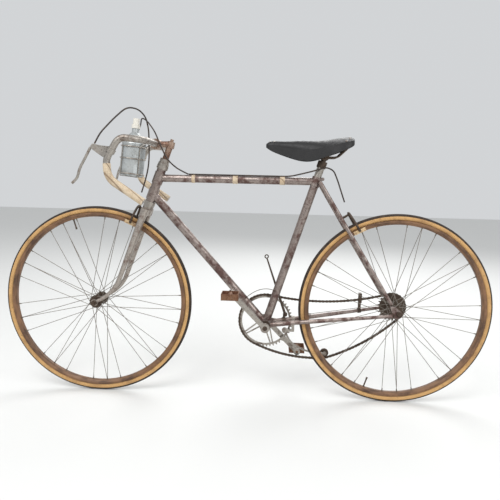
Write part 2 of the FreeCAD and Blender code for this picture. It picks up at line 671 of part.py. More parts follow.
def chain_loop(offset):
    """The closed line of the chain, offset outwards from its pitch line, as tangent arcs."""
    circles = chain_circles()
    joints = []
    for (centre, radius), (other, other_radius) in zip(circles, circles[1:] + circles[:1]):
        big, big_radius = (centre, radius) if abs(radius) > abs(other_radius) else (other, other_radius)
        small = other if big is centre else centre
        out = (small - big).normalize()
        joints.append(big + out * (abs(big_radius) + (offset if big_radius > 0 else -offset)))
    edges = []
    for number, (centre, radius) in enumerate(circles):
        start = joints[number - 1]
        end = joints[number]
        size = abs(radius) + (offset if radius > 0 else -offset)
        first = start - centre
        last = end - centre
        turn = math.atan2(first.z, first.x) - math.atan2(last.z, last.x)
        if radius > 0:
            turn = -turn % (2 * math.pi)
        else:
            turn = -(turn % (2 * math.pi))
        half = math.atan2(first.z, first.x) + turn / 2
        middle = centre + FreeCAD.Vector(math.cos(half), 0, math.sin(half)) * size
        edges.append(Part.Arc(moved(start), moved(middle), moved(end)).toShape())
    return Part.Wire(edges)


def loop_solid(outer, inner, width):
    face = Part.Face([chain_loop(outer), chain_loop(inner)])
    face.validate()
    face.translate(ALONG_Y * (s.chain_line - width / 2))
    return face.extrude(ALONG_Y * width)


def make_chain():
    """The chain as one closed loop, slotted inside so that the teeth run in it."""
    plates = loop_solid(s.plate_half, -s.plate_half, s.chain_width)
    slot = loop_solid(s.tooth_rise + 0.6, -s.plate_half - 1, s.chain_slot)
    node("chain", shaped("chain", plates.cut(slot)))


# ---------------------------------------------------------------- frame

def chainstay_place(t):
    """A place along the right chainstay: narrow beside the chainring, wide at the dropout."""
    start = BRACKET + FreeCAD.Vector(s.bracket_radius - 4, 21, 2)
    end = REAR_AXLE + FreeCAD.Vector(-20, s.rear_inner_half + s.dropout_thick / 2, -7)
    return start + (end - start) * t


def make_frame():
    head_tube = tube("head_tube", "Sizes.head_tube_radius", "Sizes.head_tube_wall",
                     steer(HEAD_FOOT), steer(HEAD_TOP))
    node("head_tube", head_tube)
    lug_radius = "Sizes.head_tube_radius + Sizes.lug_wall"
    lugs = []
    for name, middle, half in (("upper", HEAD_TOP - s.top_lug_drop, 21),
                               ("lower", HEAD_FOOT + s.down_lug_rise, 21)):
        low, high = steer(middle - half), steer(middle + half)
        lugs.append(cut(f"head_lug_{name}", rod(f"head_lug_{name}_outside", lug_radius, low, high),
                        rod(f"head_lug_{name}_inside", "Sizes.head_tube_radius + Sizes.joint", low, high)))

    lug_tool = rod("head_lug_room", f"{lug_radius} + Sizes.joint", steer(HEAD_FOOT - 60),
                   steer(HEAD_TOP + 60))
    seat_tool = rod("seat_lug_room", "Sizes.seat_tube_radius + Sizes.lug_wall + Sizes.joint",
                    BRACKET + SEAT_UP * 200, SEAT_LUG_TOP + SEAT_UP * 40)
    shell_tool = rod("bracket_room", "Sizes.bracket_radius + Sizes.joint",
                     BRACKET - ALONG_Y * 60, BRACKET + ALONG_Y * 60)
    top = tube("top_tube", "Sizes.top_tube_radius", "Sizes.tube_wall", TOP_TUBE_HEAD, SEAT_CLUSTER)
    node("top_tube", cut("top_tube_fitted", top, lug_tool, seat_tool))
    down = tube("down_tube", "Sizes.down_tube_radius", "Sizes.tube_wall", DOWN_TUBE_HEAD, BRACKET)
    node("down_tube", cut("down_tube_fitted", down, lug_tool, shell_tool))
    seat_tube = tube("seat_tube", "Sizes.seat_tube_radius", "Sizes.tube_wall", BRACKET, SEAT_LUG_TOP)
    down_room = rod("down_tube_room", "Sizes.down_tube_radius + Sizes.joint", DOWN_TUBE_HEAD, BRACKET)
    node("seat_tube", cut("seat_tube_fitted", seat_tube, shell_tool, down_room))

    low, high = SEAT_CLUSTER - SEAT_UP * 17, SEAT_LUG_TOP
    collar = rod("seat_lug_outside", "Sizes.seat_tube_radius + Sizes.lug_wall", low, high)
    bore = rod("seat_lug_inside", "Sizes.seat_tube_radius + Sizes.joint", low - SEAT_UP, high + SEAT_UP)
    ear_place = SEAT_LUG_TOP - SEAT_UP * 9 + FreeCAD.Vector(s.seat_tube_radius + 6, 0, 2)
    ears = rod("seat_lug_ears", "6", ear_place - ALONG_Y * 11, ear_place + ALONG_Y * 11)
    seat_lug = cut("seat_lug", fuse("seat_lug_whole", collar, ears), bore)
    node("frame_lugs", bundle("frame_lugs", seat_lug, *lugs))

    shell = rod("bracket_outside", "Sizes.bracket_radius", BRACKET - ALONG_Y * s.bracket_half,
                BRACKET + ALONG_Y * s.bracket_half)
    hollow = rod("bracket_inside", "Sizes.bracket_bore", BRACKET - ALONG_Y * 60, BRACKET + ALONG_Y * 60)
    node("bottom_bracket_shell", cut("bottom_bracket_shell", shell, hollow))
    cups = turned("bracket_cup", [
        ("Sizes.spindle_radius + Sizes.running", "-Sizes.bracket_half - 4"), ("Sizes.bracket_bore + 2",
                                                                              "-Sizes.bracket_half - 4"),
        ("Sizes.bracket_bore + 2",
         "-Sizes.bracket_half - Sizes.joint"), ("Sizes.bracket_bore - Sizes.joint",
                                                "-Sizes.bracket_half - Sizes.joint"),
        ("Sizes.bracket_bore - Sizes.joint", "-Sizes.bracket_half + Sizes.cup_thick"),
        ("Sizes.spindle_radius + Sizes.running", "-Sizes.bracket_half + Sizes.cup_thick")], BRACKET)
    node("bottom_bracket_cups", both("bottom_bracket_cups", cups))

    stay_points = [chainstay_place(0), BRACKET + FreeCAD.Vector(118, 27, 17), chainstay_place(1)]
    stay_points[1].z = chainstay_place(0.24).z
    stay = swept(stay_points, s.chainstay_radius, [500], s.chainstay_tip)
    chainstay = cut("chainstay", shaped("chainstay_bar", stay), shell_tool)
    node("chainstays", both("chainstays", chainstay))

    top_stay, foot_stay = seatstay_ends()
    seatstay = taper("seatstay", "Sizes.seatstay_radius", "Sizes.seatstay_tip", top_stay, foot_stay)
    node("seatstays", both("seatstays", seatstay))
    place = bridge_place()
    room_left = taper("bridge_room", "Sizes.seatstay_radius + Sizes.joint",
                      "Sizes.seatstay_tip + Sizes.joint",
                      top_stay, foot_stay)
    middle_bar = rod("bridge_middle", "Sizes.bridge_radius", place - ALONG_Y * bridge_half(),
                     place + ALONG_Y * bridge_half())
    node("seatstay_bridge", cut("seatstay_bridge", middle_bar, both("bridge_rooms", room_left)))
    make_rear_dropouts()


def seatstay_ends():
    top = SEAT_CLUSTER + FreeCAD.Vector(12, 20.5, -1)
    foot = REAR_AXLE + FreeCAD.Vector(-27, s.rear_inner_half + s.dropout_thick / 2, 34)
    return top, foot


def bridge_place():
    top, foot = seatstay_ends()
    middle = top + (foot - top) * s.bridge_down
    return FreeCAD.Vector(middle.x, 0, middle.z)


def bridge_half():
    top, foot = seatstay_ends()
    return (top + (foot - top) * s.bridge_down).y


def make_rear_dropouts():
    """Plates that join each pair of stays, slotted forwards for the axle."""
    body = doc.addObject("PartDesign::Body", "dropout_plate")
    corners = [("-31", "26"), ("-14", "26"), ("3", "13"), ("12", "4"), ("11", "-9"), ("1", "-15"),
               ("-13.6", "-15"), ("-13.6", "-4"), ("-22", "3")]
    sketch = outline(body, corners, "XZ_Plane")
    plate = body.newObject("PartDesign::Pad", "dropout_pad")
    plate.Profile = sketch
    plate.setExpression("Length", "Sizes.dropout_thick")
    plate.Midplane = True
    body.Tip = plate
    middle = REAR_AXLE - ALONG_Y * (s.rear_inner_half + s.dropout_thick / 2)
    body.Placement = FreeCAD.Placement(moved(middle), FreeCAD.Rotation())
    hole = rod("dropout_hole", "Sizes.rear_axle_radius + Sizes.joint", middle - ALONG_Y * 10,
               middle + ALONG_Y * 10)
    node("rear_dropouts", both("rear_dropouts", cut("rear_dropout", body, hole)))


# ---------------------------------------------------------------- fork, headset and stem

def make_fork():
    node("steerer",
         tube("steerer", "Sizes.steerer_radius",
              "(Sizes.steerer_radius - Sizes.quill_radius - Sizes.running)",
                         steer(CROWN_FOOT), steer(LOCKNUT_TOP)))
    crown_middle = (CROWN_FOOT + CROWN_TOP) / 2
    slope = turn_to(STEER_UP)
    plate = block("crown_plate", (27, 2 * s.crown_half_width, s.crown_height - 4), steer(crown_middle),
                  slope)
    core = rod("crown_core", "18", steer(CROWN_FOOT + 2), steer(CROWN_TOP))
    sockets = [rod(f"crown_socket_{side}", "Sizes.blade_radius + 2",
                   steer(CROWN_FOOT, 0, side * s.crown_half_width),
                   steer(CROWN_TOP - 3, 0, side * s.crown_half_width)) for side in (-1, 1)]
    bore = rod("crown_bore", "Sizes.steerer_radius + Sizes.joint", steer(CROWN_FOOT - 5),
               steer(CROWN_TOP + 5))
    node("fork_crown", cut("fork_crown", fuse("crown_whole", plate, core, *sockets), bore))

    side = s.crown_half_width
    tip_side = s.front_inner_half + s.fork_end_thick / 2
    bend = steer(s.blade_bend_height, 0, -(side + (tip_side - side) * 0.8))
    axle_side = steer(0, s.fork_rake, -tip_side)
    end = axle_side + (bend - axle_side).normalize() * (s.fork_end_radius + s.joint)
    start = steer(CROWN_FOOT - 0.7, 0, -side)
    blade = swept([start, bend, end], s.blade_radius, [s.blade_bend_radius * 0.95], s.blade_tip)
    node("fork_blades", both("fork_blades", shaped("fork_blade", blade)))

    inner = axle_side + ALONG_Y * (s.fork_end_thick / 2)
    outer = axle_side - ALONG_Y * (s.fork_end_thick / 2)
    disc = rod("fork_end_disc", "Sizes.fork_end_radius", inner, outer)
    hole = rod("fork_end_hole", "Sizes.front_axle_radius + Sizes.joint", inner + ALONG_Y, outer - ALONG_Y)
    slot = block("fork_end_slot", (20, s.fork_end_thick + 4, 2 * s.front_axle_radius),
                 axle_side + FreeCAD.Vector(-9, 0, -5), FreeCAD.Rotation(ALONG_Y, -30))
    node("fork_ends", both("fork_ends", cut("fork_end", disc, hole, slot)))

    bore = "Sizes.steerer_radius + Sizes.running"
    low_cup = cut("lower_cup",
                  rod("lower_cup_out", "Sizes.cup_radius", steer(HEAD_FOOT - s.cup_height),
                      steer(HEAD_FOOT - s.joint)),
                  rod("lower_cup_in", bore, steer(HEAD_FOOT - 30), steer(HEAD_FOOT + 5)))
    top_cup = cut("upper_cup",
                  rod("upper_cup_out", "Sizes.cup_radius", steer(HEAD_TOP + s.joint), steer(CUP_TOP)),
                  rod("upper_cup_in", bore, steer(HEAD_TOP - 5), steer(CUP_TOP + 5)))
    node("headset_cups", bundle("headset_cups", low_cup, top_cup))
    tight = "Sizes.steerer_radius + Sizes.joint / 2"
    race = cut("crown_race",
               rod("crown_race_out", "Sizes.cup_radius - 1.5", steer(CROWN_TOP + s.joint),
                   steer(CROWN_TOP + s.race_height)),
               rod("crown_race_in", tight, steer(CROWN_TOP - 5), steer(CROWN_TOP + 30)))
    low = steer(CUP_TOP + s.gap)
    nuts = fuse("locknut_stack",
                rod("locknut_wide", "Sizes.cup_radius - 1", low, steer(CUP_TOP + s.gap + 9)),
                rod("locknut_narrow", "Sizes.cup_radius - 3", low, steer(LOCKNUT_TOP)))
    nuts = cut("locknuts", nuts, rod("locknuts_in", tight, steer(CUP_TOP - 5), steer(LOCKNUT_TOP + 5)))
    node("headset_locknuts", bundle("headset_locknuts", race, nuts))


def make_stem():
    """A forged stem: quill in the steerer, level extension and a split clamp around the bar."""
    top = stem_top()
    quill = rod("quill", "Sizes.quill_radius", steer(LOCKNUT_TOP - 70), top)
    extension = rod("stem_extension", "Sizes.stem_radius", FreeCAD.Vector(top.x, 0, BAR_CLAMP.z), BAR_CLAMP)
    knuckle = rod("stem_knuckle", "13", FreeCAD.Vector(top.x, 0, BAR_CLAMP.z) - STEER_UP * 14, top)
    half = ALONG_Y * (s.stem_clamp_width / 2)
    clamp = rod("stem_clamp", "Sizes.stem_clamp_radius", BAR_CLAMP - half, BAR_CLAMP + half)
    bolt = rod("expander_bolt", "6", top, top + STEER_UP * 9)
    whole = fuse("stem_whole", quill, extension, knuckle, clamp, bolt)
    bore = rod("stem_bore", "Sizes.bar_radius + Sizes.joint", BAR_CLAMP - half * 2, BAR_CLAMP + half * 2)
    node("stem", cut("stem", whole, bore))


def stem_top():
    return STEER_FOOT + STEER_UP * ((BAR_CLAMP.z + 9 - STEER_FOOT.z) / STEER_UP.z)


# ---------------------------------------------------------------- handlebar, levers, cables, bottle

def bar_place(ahead, side, up):
    """A place ahead of, beside and above the stem clamp's centre."""
    return BAR_CLAMP + FreeCAD.Vector(-ahead, side, up)


def bar_points():
    """Corners of the left half of the bar, from its middle to its end."""
    side = -s.bar_half_width
    return [bar_place(0, 0, 0), bar_place(0, side, 0), bar_place(s.ramp_reach, side, 5),
            bar_place(s.bar_reach, side, -s.hook_high), bar_place(s.bar_reach - 4, side, -s.hook_low),
            bar_place(-2, side, -s.bar_drop)]


BAR_BENDS = [60, 34, 45, 56]


def make_handlebar():
    left = bar_points()
    right = [FreeCAD.Vector(point.x, -point.y, point.z) for point in left[:0:-1]]
    whole = right + left[1:]
    bends = BAR_BENDS[::-1] + BAR_BENDS
    node("handlebar", shaped("handlebar", swept(whole, s.bar_radius, bends)))
    side = -s.bar_half_width
    start = left[3] + (left[4] - left[3]) * 0.24
    tape_points = [start, left[4], left[5]]
    outside = swept(tape_points, s.bar_radius + s.tape_thick, [BAR_BENDS[3]])
    inside = swept(tape_points, s.bar_radius + s.joint / 2, [BAR_BENDS[3]])
    tape = shaped("left_tape", outside.cut(inside))
    node("bar_tape", both("bar_tape", tape))


def make_brake_levers():
    points = bar_points()
    seat_point = points[2] + (points[3] - points[2]) * 0.62
    run = (points[3] - points[2]).normalize()
    band = cut("lever_band",
               rod("lever_band_out", "Sizes.bar_radius + 3", seat_point - run * 7, seat_point + run * 7),
               rod("lever_band_in", "Sizes.bar_radius + Sizes.joint", seat_point - run * 9,
                   seat_point + run * 9))
    body = doc.addObject("PartDesign::Body", "lever_hood")
    corners = [("-14", "-24"), ("-26", "-19"), ("-58", "3"), ("-63", "12"), ("-56", "20"), ("-30", "15"),
               ("-6", "13"), ("-12", "0")]
    sketch = outline(body, corners, "XZ_Plane")
    pad = body.newObject("PartDesign::Pad", "lever_hood_pad")
    pad.Profile = sketch
    pad.Length = 18
    pad.Midplane = True
    body.Tip = pad
    body.Placement = FreeCAD.Placement(moved(seat_point), FreeCAD.Rotation())
    room = rod("hood_room", "Sizes.bar_radius + Sizes.joint", seat_point - run * 60, seat_point + run * 60)
    hood = cut("hood_fitted", body, room)
    node("brake_lever_hoods", both("brake_lever_hoods", fuse("lever_hood_whole", band, hood)))
    pivot = seat_point + FreeCAD.Vector(-64.9, 0, 9)
    blade_points = [pivot, pivot + FreeCAD.Vector(-16, -2, -32), pivot + FreeCAD.Vector(-34, -5, -66),
                    pivot + FreeCAD.Vector(-41, -7, -96), pivot + FreeCAD.Vector(-58, -9, -113)]
    blade = swept(blade_points, 4.2)
    node("brake_levers", both("brake_levers", shaped("brake_lever", blade)))
    return seat_point


def front_brake_route(start):
    clamp = BAR_CLAMP
    return [start, start + FreeCAD.Vector(17, 4, 34), clamp + FreeCAD.Vector(-92, -172, 68),
            clamp + FreeCAD.Vector(-60, -150, 103), clamp + FreeCAD.Vector(-34, -112, 103),
            clamp + FreeCAD.Vector(-20, -72, 84), clamp + FreeCAD.Vector(-19, -36, 46),
            clamp + FreeCAD.Vector(-23, -17, 6), clamp + FreeCAD.Vector(-23, -14, -42),
            clamp + FreeCAD.Vector(-27, -13, -84), clamp + FreeCAD.Vector(-37, -14, -126),
            clamp + FreeCAD.Vector(-50, -16, -168)]


def rear_brake_free_route(start):
    clamp = BAR_CLAMP
    return [start, start + FreeCAD.Vector(16, -4, 36), clamp + FreeCAD.Vector(-104, 166, 76),
            clamp + FreeCAD.Vector(-84, 118, 100), clamp + FreeCAD.Vector(-56, 72, 90),
            clamp + FreeCAD.Vector(-26, 26, 64), clamp + FreeCAD.Vector(0, -20, 36),
            clamp + FreeCAD.Vector(23, -42, -6), clamp + FreeCAD.Vector(45, -38, -50),
            clamp + FreeCAD.Vector(74, -18, -80), held_cable_start()]


def held_cable_start():
    """Where the rear cable reaches the top of the top tube."""
    return FreeCAD.Vector(BAR_CLAMP.x + 112, 0, cable_on_tube_z())


def cable_on_tube_z():
    return TOP_TUBE_HEAD.z + s.top_tube_radius + s.cable_radius + s.joint


def rear_brake_held_route():
    start = held_cable_start()
    z = cable_on_tube_z()
    post = SEAT_LUG_TOP
    out = s.seatpost_radius + s.cable_radius + 4
    return [start + FreeCAD.Vector(1.5, 0, 0), FreeCAD.Vector(post.x - 95, 0, z),
            FreeCAD.Vector(post.x - 50, -8, z + 11),
            FreeCAD.Vector(post.x - 8, -out, z + 22), FreeCAD.Vector(post.x + 26, -out + 3, z + 34),
            FreeCAD.Vector(post.x + 53, -15, z + 24), FreeCAD.Vector(post.x + 68, -11, z - 8),
            FreeCAD.Vector(post.x + 82, -9, z - 46), FreeCAD.Vector(post.x + 96, -8, z - 84)]


def make_cables():
    left = brake_seat
    right = FreeCAD.Vector(left.x, -left.y, left.z)
    top_of_hood = FreeCAD.Vector(-52, 0, 20.5)
    node("front_brake_cable", cord("front_brake_cable", front_brake_route(left + top_of_hood)))
    node("rear_brake_cable_loop", cord("rear_brake_cable_loop", rear_brake_free_route(right + top_of_hood)))
    node("rear_brake_cable", cord("rear_brake_cable", rear_brake_held_route()))


def brake(name, hub_centre, pivot, shoe_angle_out, towards):
    """A side-pull calliper over the tyre, and its two shoes beside the rim."""
    shoe = hub_centre + FreeCAD.Vector(math.cos(shoe_angle_out) * towards, 0,
                                       math.sin(shoe_angle_out)) * RIM_MIDDLE
    half = s.rim_width / 2 + s.pad_gap
    tangent = FreeCAD.Vector(-math.sin(shoe_angle_out) * towards, 0, math.cos(shoe_angle_out))
    shoes = block(f"{name}_shoe", (42, 10, 12), shoe - ALONG_Y * (half + 5), level_tangent(tangent))
    node(f"{name}_shoes", both(f"{name}_shoes", shoes))
    outer = half + 10 + s.joint + 4
    left = [shoe - ALONG_Y * outer, shoe * 0.45 + pivot * 0.55 - ALONG_Y * (outer + 3),
            pivot - ALONG_Y * 16 + (pivot - shoe) * 0.08]
    right = [FreeCAD.Vector(point.x, -point.y, point.z) for point in left[::-1]]
    arm = swept(left + right, 4.0)
    return arm, shoe


def level_tangent(tangent):
    return FreeCAD.Rotation(ALONG_Y, math.degrees(-math.atan2(tangent.z, tangent.x)))


def make_brakes():
    front_pivot = steer((CROWN_FOOT + CROWN_TOP) / 2 + 4, 31)
    arm, _ = brake("front_brake", FRONT_AXLE, front_pivot, math.radians(s.front_shoe_angle), 1)
    bolt = rod("front_brake_bolt", "4", steer((CROWN_FOOT + CROWN_TOP) / 2 + 4, 18.5),
               front_pivot + STEER_AHEAD * 5)
    node("front_brake_calliper", fuse("front_brake_calliper", shaped("front_brake_arm", arm), bolt))
    top, foot = seatstay_ends()
    back = FreeCAD.Vector(foot.z - top.z, 0, top.x - foot.x).normalize()
    if back.x < 0:
        back = back * -1
    rear_pivot = bridge_place() + back * 34
    arm, _ = brake("rear_brake", REAR_AXLE, rear_pivot, math.radians(s.rear_shoe_angle), -1)
    bolt = rod("rear_brake_bolt", "4", bridge_place() + back * (s.bridge_radius + s.joint),
               rear_pivot + back * 5)
    node("rear_brake_calliper", fuse("rear_brake_calliper", shaped("rear_brake_arm", arm), bolt))


def make_bottle():
    """A metal bottle in a wire cage that hangs on the bar."""
    lean = math.radians(s.bottle_lean)
    up = FreeCAD.Vector(math.sin(lean), 0, math.cos(lean))
    base = bar_place(s.bottle_ahead, 0, -s.bottle_below)
    body = doc.addObject("PartDesign::Body", "bottle_body")
    neck = "Sizes.bottle_neck"
    corners = [("0", "0"), ("Sizes.bottle_radius - 3", "0"), ("Sizes.bottle_radius", "4"),
               ("Sizes.bottle_radius", "Sizes.bottle_body"), ("Sizes.bottle_radius * 0.86",
                                                              "Sizes.bottle_body + 16"),
               ("Sizes.bottle_radius * 0.5", "Sizes.bottle_body + 30"), (neck, "Sizes.bottle_body + 38"),
               (neck, "Sizes.bottle_body + 52"), ("0", "Sizes.bottle_body + 52")]
    sketch = outline(body, corners)
    feature = body.newObject("PartDesign::Revolution", "bottle_turn")
    feature.Profile = sketch
    feature.ReferenceAxis = (sketch, ["V_Axis"])
    feature.Angle = 360
    body.Tip = feature
    body.Placement = FreeCAD.Placement(moved(base), FreeCAD.Rotation(ALONG_Y, up))
    node("bottle", body)
    stopper_foot = base + up * (s.bottle_body + 52 + s.joint)
    stopper = fuse("stopper_whole",
                   rod("stopper_cork", "Sizes.bottle_neck + 2.5", stopper_foot, stopper_foot + up * 13),
                   rod("stopper_cap", "Sizes.bottle_neck - 1", stopper_foot + up * 13,
                       stopper_foot + up * 34))
    node("bottle_stopper", stopper)
    ring_radius = "Sizes.bottle_radius + Sizes.cage_wire + Sizes.gap"
    rings = []
    for number, height in enumerate((8, 60, 101)):
        ring = doc.addObject("Part::Torus", f"cage_ring_{number}")
        ring.setExpression("Radius1", ring_radius)
        ring.setExpression("Radius2", "Sizes.cage_wire")
        ring.Placement = FreeCAD.Placement(moved(base + up * height), turn_to(up))
        rings.append(ring)
    reach = s.bottle_radius + s.cage_wire + s.gap
    across = up.cross(ALONG_Y)
    floor_drop = s.cage_wire + s.gap
    posts = []
    for number in range(4):
        turn = math.radians(45 + 90 * number)
        foot = base + across * math.cos(turn) * reach + ALONG_Y * math.sin(turn) * reach
        posts.append(rod(f"cage_post_{number}", "Sizes.cage_wire * 0.8", foot - up * floor_drop,
                         foot + up * 101))
    floor_cross = []
    for number, turn in enumerate((math.pi / 4, -math.pi / 4)):
        half_wire = (across * math.cos(turn) + ALONG_Y * math.sin(turn)) * reach
        floor_cross.append(rod(f"cage_floor_{number}", f"Sizes.cage_wire * {0.7 - 0.15 * number}",
                               base - up * floor_drop + half_wire, base - up * floor_drop - half_wire))
    hooks = []
    for side in (-1, 1):
        turn = math.radians(45)
        top = base + up * 101 - across * math.cos(turn) * reach + ALONG_Y * side * math.sin(turn) * reach
        if top.x < base.x:
            top = base + up * 101 + across * math.cos(turn) * reach + ALONG_Y * side * math.sin(turn) * reach
        hang = FreeCAD.Vector(BAR_CLAMP.x - s.bar_radius - s.cage_wire - s.joint, top.y, BAR_CLAMP.z + 3)
        over = FreeCAD.Vector(BAR_CLAMP.x, top.y, BAR_CLAMP.z + s.bar_radius + s.cage_wire + s.joint)
        hooks.append(rod(f"cage_arm_{side + 1}", "Sizes.cage_wire * 0.9", top,
                         FreeCAD.Vector(hang.x, hang.y, over.z)))
        hooks.append(rod(f"cage_hook_{side + 1}", "Sizes.cage_wire * 0.7",
                         FreeCAD.Vector(hang.x, hang.y, over.z), over))
    node("bottle_cage", fuse("bottle_cage", *rings, *posts, *floor_cross, *hooks))


# ---------------------------------------------------------------- saddle

def saddle_section(back, half, top, foot, inset):
    """One arched section across the saddle, a D with its flat side down."""
    x = s.saddle_back + back
    half -= inset
    crest = s.saddle_height + top - inset
    skirt = s.saddle_height + foot - (1 if inset else 0)
    left, right = at(x, -half, skirt), at(x, half, skirt)
    left_high = at(x, -half * 0.96, skirt + (crest - skirt) * 0.55)
    right_high = at(x, half * 0.96, skirt + (crest - skirt) * 0.55)
    arch = Part.Arc(left_high, at(x, 0, crest), right_high).toShape()
    return Part.Wire([Part.LineSegment(left, left_high).toShape(), arch,
                      Part.LineSegment(right_high, right).toShape(), Part.LineSegment(right,
                                                                                      left).toShape()])


def make_saddle():
    wide = s.saddle_width / 2
    nose = -s.saddle_ahead
    stations = [(nose, 7, -17, -28), (nose + 12, 14, -9, -36), (nose + 40, 18, -6, -48),
                (nose + 90, 24, -5, -64),
                (nose + 145, 38, -3, -72), (0, 62, 0, -58), (48, wide, 8, -40), (78, wide * 0.9, 11, -28),
                (93, wide * 0.55, 7, -14)]
    outer = Part.makeLoft([saddle_section(*station, 0) for station in stations], True, False)
    inner = Part.makeLoft([saddle_section(*station, s.leather) for station in stations[1:-1]], True, False)
    node("saddle_cover", shaped("saddle_cover", outer.cut(inner)))
    spread = s.rail_spread
    x = s.saddle_back
    rails = swept([FreeCAD.Vector(x + nose + 22, -4, s.saddle_height - 26),
                   FreeCAD.Vector(x + nose + 140, -spread, RAIL_Z),
                   FreeCAD.Vector(x + 40, -spread, RAIL_Z), FreeCAD.Vector(x + 70, -spread - 22,
                                                                           RAIL_Z + 30)],
                  s.rail_radius, [40, 25])
    node("saddle_rails", both("saddle_rails", shaped("saddle_rail", rails)))
    node("seatpost", rod("seatpost", "Sizes.seatpost_radius", SEAT_CLUSTER - SEAT_UP * 60, POST_TOP))
    centre = FreeCAD.Vector(POST_TOP.x + 6, 0, RAIL_Z)
    bolt = rod("saddle_clamp_bolt", "5", centre - ALONG_Y * 34, centre + ALONG_Y * 34)
    cheeks = [rod(f"saddle_clamp_cheek_{side}", "12", centre + ALONG_Y * side * 13,
                  centre + ALONG_Y * side * 30)
              for side in (-1, 1)]
    collar = rod("saddle_clamp_collar", "Sizes.seatpost_radius + 3", POST_TOP - SEAT_UP * 22,
                 POST_TOP + SEAT_UP * 1)
    neck = rod("saddle_clamp_neck", "9", POST_TOP + SEAT_UP * 0.5, centre)
    whole = fuse("saddle_clamp_whole", bolt, collar, neck, *cheeks)
    post_room = rod("post_room", "Sizes.seatpost_radius + Sizes.joint", POST_TOP - SEAT_UP * 60,
                    POST_TOP + SEAT_UP * s.joint)
    rail_room = [rod(f"rail_room_{side}", "Sizes.rail_radius + Sizes.joint",
                     FreeCAD.Vector(x - 100, side * spread, RAIL_Z), FreeCAD.Vector(x + 100,
                                                                                    side * spread, RAIL_Z))
                 for side in (-1, 1)]
    node("saddle_clamp", cut("saddle_clamp", whole, post_room, *rail_room))


# ---------------------------------------------------------------- gear change

def stay_ring(name, t, wall):
    """A clamp band around the right chainstay."""
    centre = stay_point(t)
    along = (stay_point(t + 0.02) - stay_point(t - 0.02)).normalize()
    radius = s.chainstay_radius + (s.chainstay_tip - s.chainstay_radius) * t
    outside = Part.makeCylinder(radius + s.joint + wall, 12, moved(centre - along * 6), along)
    inside = Part.makeCylinder(radius + s.joint, 14, moved(centre - along * 7), along)
    return outside, inside, centre, radius


def stay_point(t):
    """A place on the right chainstay's bent axis."""
    knee = BRACKET + FreeCAD.Vector(118, 27, 17)
    knee.z = chainstay_place(0.24).z
    first, last = chainstay_place(0), chainstay_place(1)
    if t < 0.24:
        return first + (knee - first) * (t / 0.24)
    return knee + (last - knee) * ((t - 0.24) / 0.76)


def make_gear_change():
    outside, inside, centre, radius = stay_ring("lever_ring", 0.12, 2.5)
    side = centre.y
    pivot = FreeCAD.Vector(centre.x + 4, side + 3, centre.z + radius + 12)
    top = BRACKET + FreeCAD.Vector(-1, side + 6, 234)
    bar = Part.makeCone(5.0, 2.6, (top - pivot).Length, moved(pivot), top - pivot)
    boss = Part.makeCylinder(8, 8, moved(pivot - ALONG_Y * 5), ALONG_Y)
    post = Part.makeBox(8, 6, radius + 8, moved(centre + FreeCAD.Vector(-4, -1, 3)))
    loop = Part.makeTorus(6, 2, moved(top + FreeCAD.Vector(-1, 0, 6)), ALONG_Y)
    node("gear_lever", shaped("gear_lever", outside.fuse([boss, post, bar, loop]).cut(inside)))

    outside, inside, centre, radius = stay_ring("tensioner_ring", 0.2, 2.5)
    pulley = BRACKET + FreeCAD.Vector(s.pulley_back, s.chain_line, -s.pulley_down)
    drum_centre = FreeCAD.Vector(71, 29, BRACKET.z - 31)
    drum = Part.makeCylinder(10, 9, moved(drum_centre - ALONG_Y * 4.5), ALONG_Y)
    hanger = Part.makeBox(10, 6, centre.z - drum_centre.z,
                          moved(FreeCAD.Vector(centre.x - 5, drum_centre.y - 3, drum_centre.z)))
    link = Part.makeBox(centre.x - drum_centre.x + 5, 6, 8,
                        moved(FreeCAD.Vector(drum_centre.x, drum_centre.y - 3, drum_centre.z - 4)))
    eye_y = s.chain_line - s.chain_width / 2 - 6.5
    arm = swept([drum_centre, drum_centre + FreeCAD.Vector(22, 0, -46),
                 FreeCAD.Vector(150, eye_y, pulley.z + 6),
                 FreeCAD.Vector(pulley.x, eye_y, pulley.z)], 3.6)
    eye = Part.makeCylinder(7, 6, moved(FreeCAD.Vector(pulley.x, eye_y - 3, pulley.z)), ALONG_Y)
    pin = Part.makeCylinder(4, s.chain_line + 6 - eye_y, moved(FreeCAD.Vector(pulley.x, eye_y, pulley.z)),
                            ALONG_Y)
    node("tension_arm",
         shaped("tension_arm", outside.fuse([hanger, link, drum, arm, eye, pin]).cut(inside)))
    wheel = turned("tension_pulley", [
        ("4 + Sizes.joint", "-3.4"), ("Sizes.pulley_pitch - Sizes.plate_half - Sizes.gap", "-3.4"),
        ("Sizes.pulley_pitch - Sizes.plate_half - Sizes.gap", "3.4"), ("4 + Sizes.joint", "3.4")], pulley)
    node("tension_pulley", wheel)

    outside, inside, centre, radius = stay_ring("shifter_ring", 0.775, 2.5)
    run_z = chain_top_at(centre.x)
    post_y = s.chain_line + s.chain_width / 2 + 3
    post = Part.makeBox(10, 8, run_z + 22 - centre.z, moved(FreeCAD.Vector(centre.x - 5, post_y, centre.z)))
    roof_y = s.chain_line - s.chain_width / 2 - 3
    roof = Part.makeBox(10, post_y + 8 - roof_y, 4, moved(FreeCAD.Vector(centre.x - 5, roof_y, run_z + 18)))
    cheek = Part.makeBox(10, 2, 32, moved(FreeCAD.Vector(centre.x - 5, roof_y, run_z - 12)))
    node("shifting_fork", shaped("shifting_fork", outside.fuse([post, roof, cheek]).cut(inside)))


def chain_top_at(x):
    """Height of the chain's upper run at a place behind the bottom bracket."""
    centre, radius = chain_circles()[-1]
    return centre.z - math.sqrt(radius ** 2 - (x - centre.x) ** 2)


# ---------------------------------------------------------------- the whole bicycle

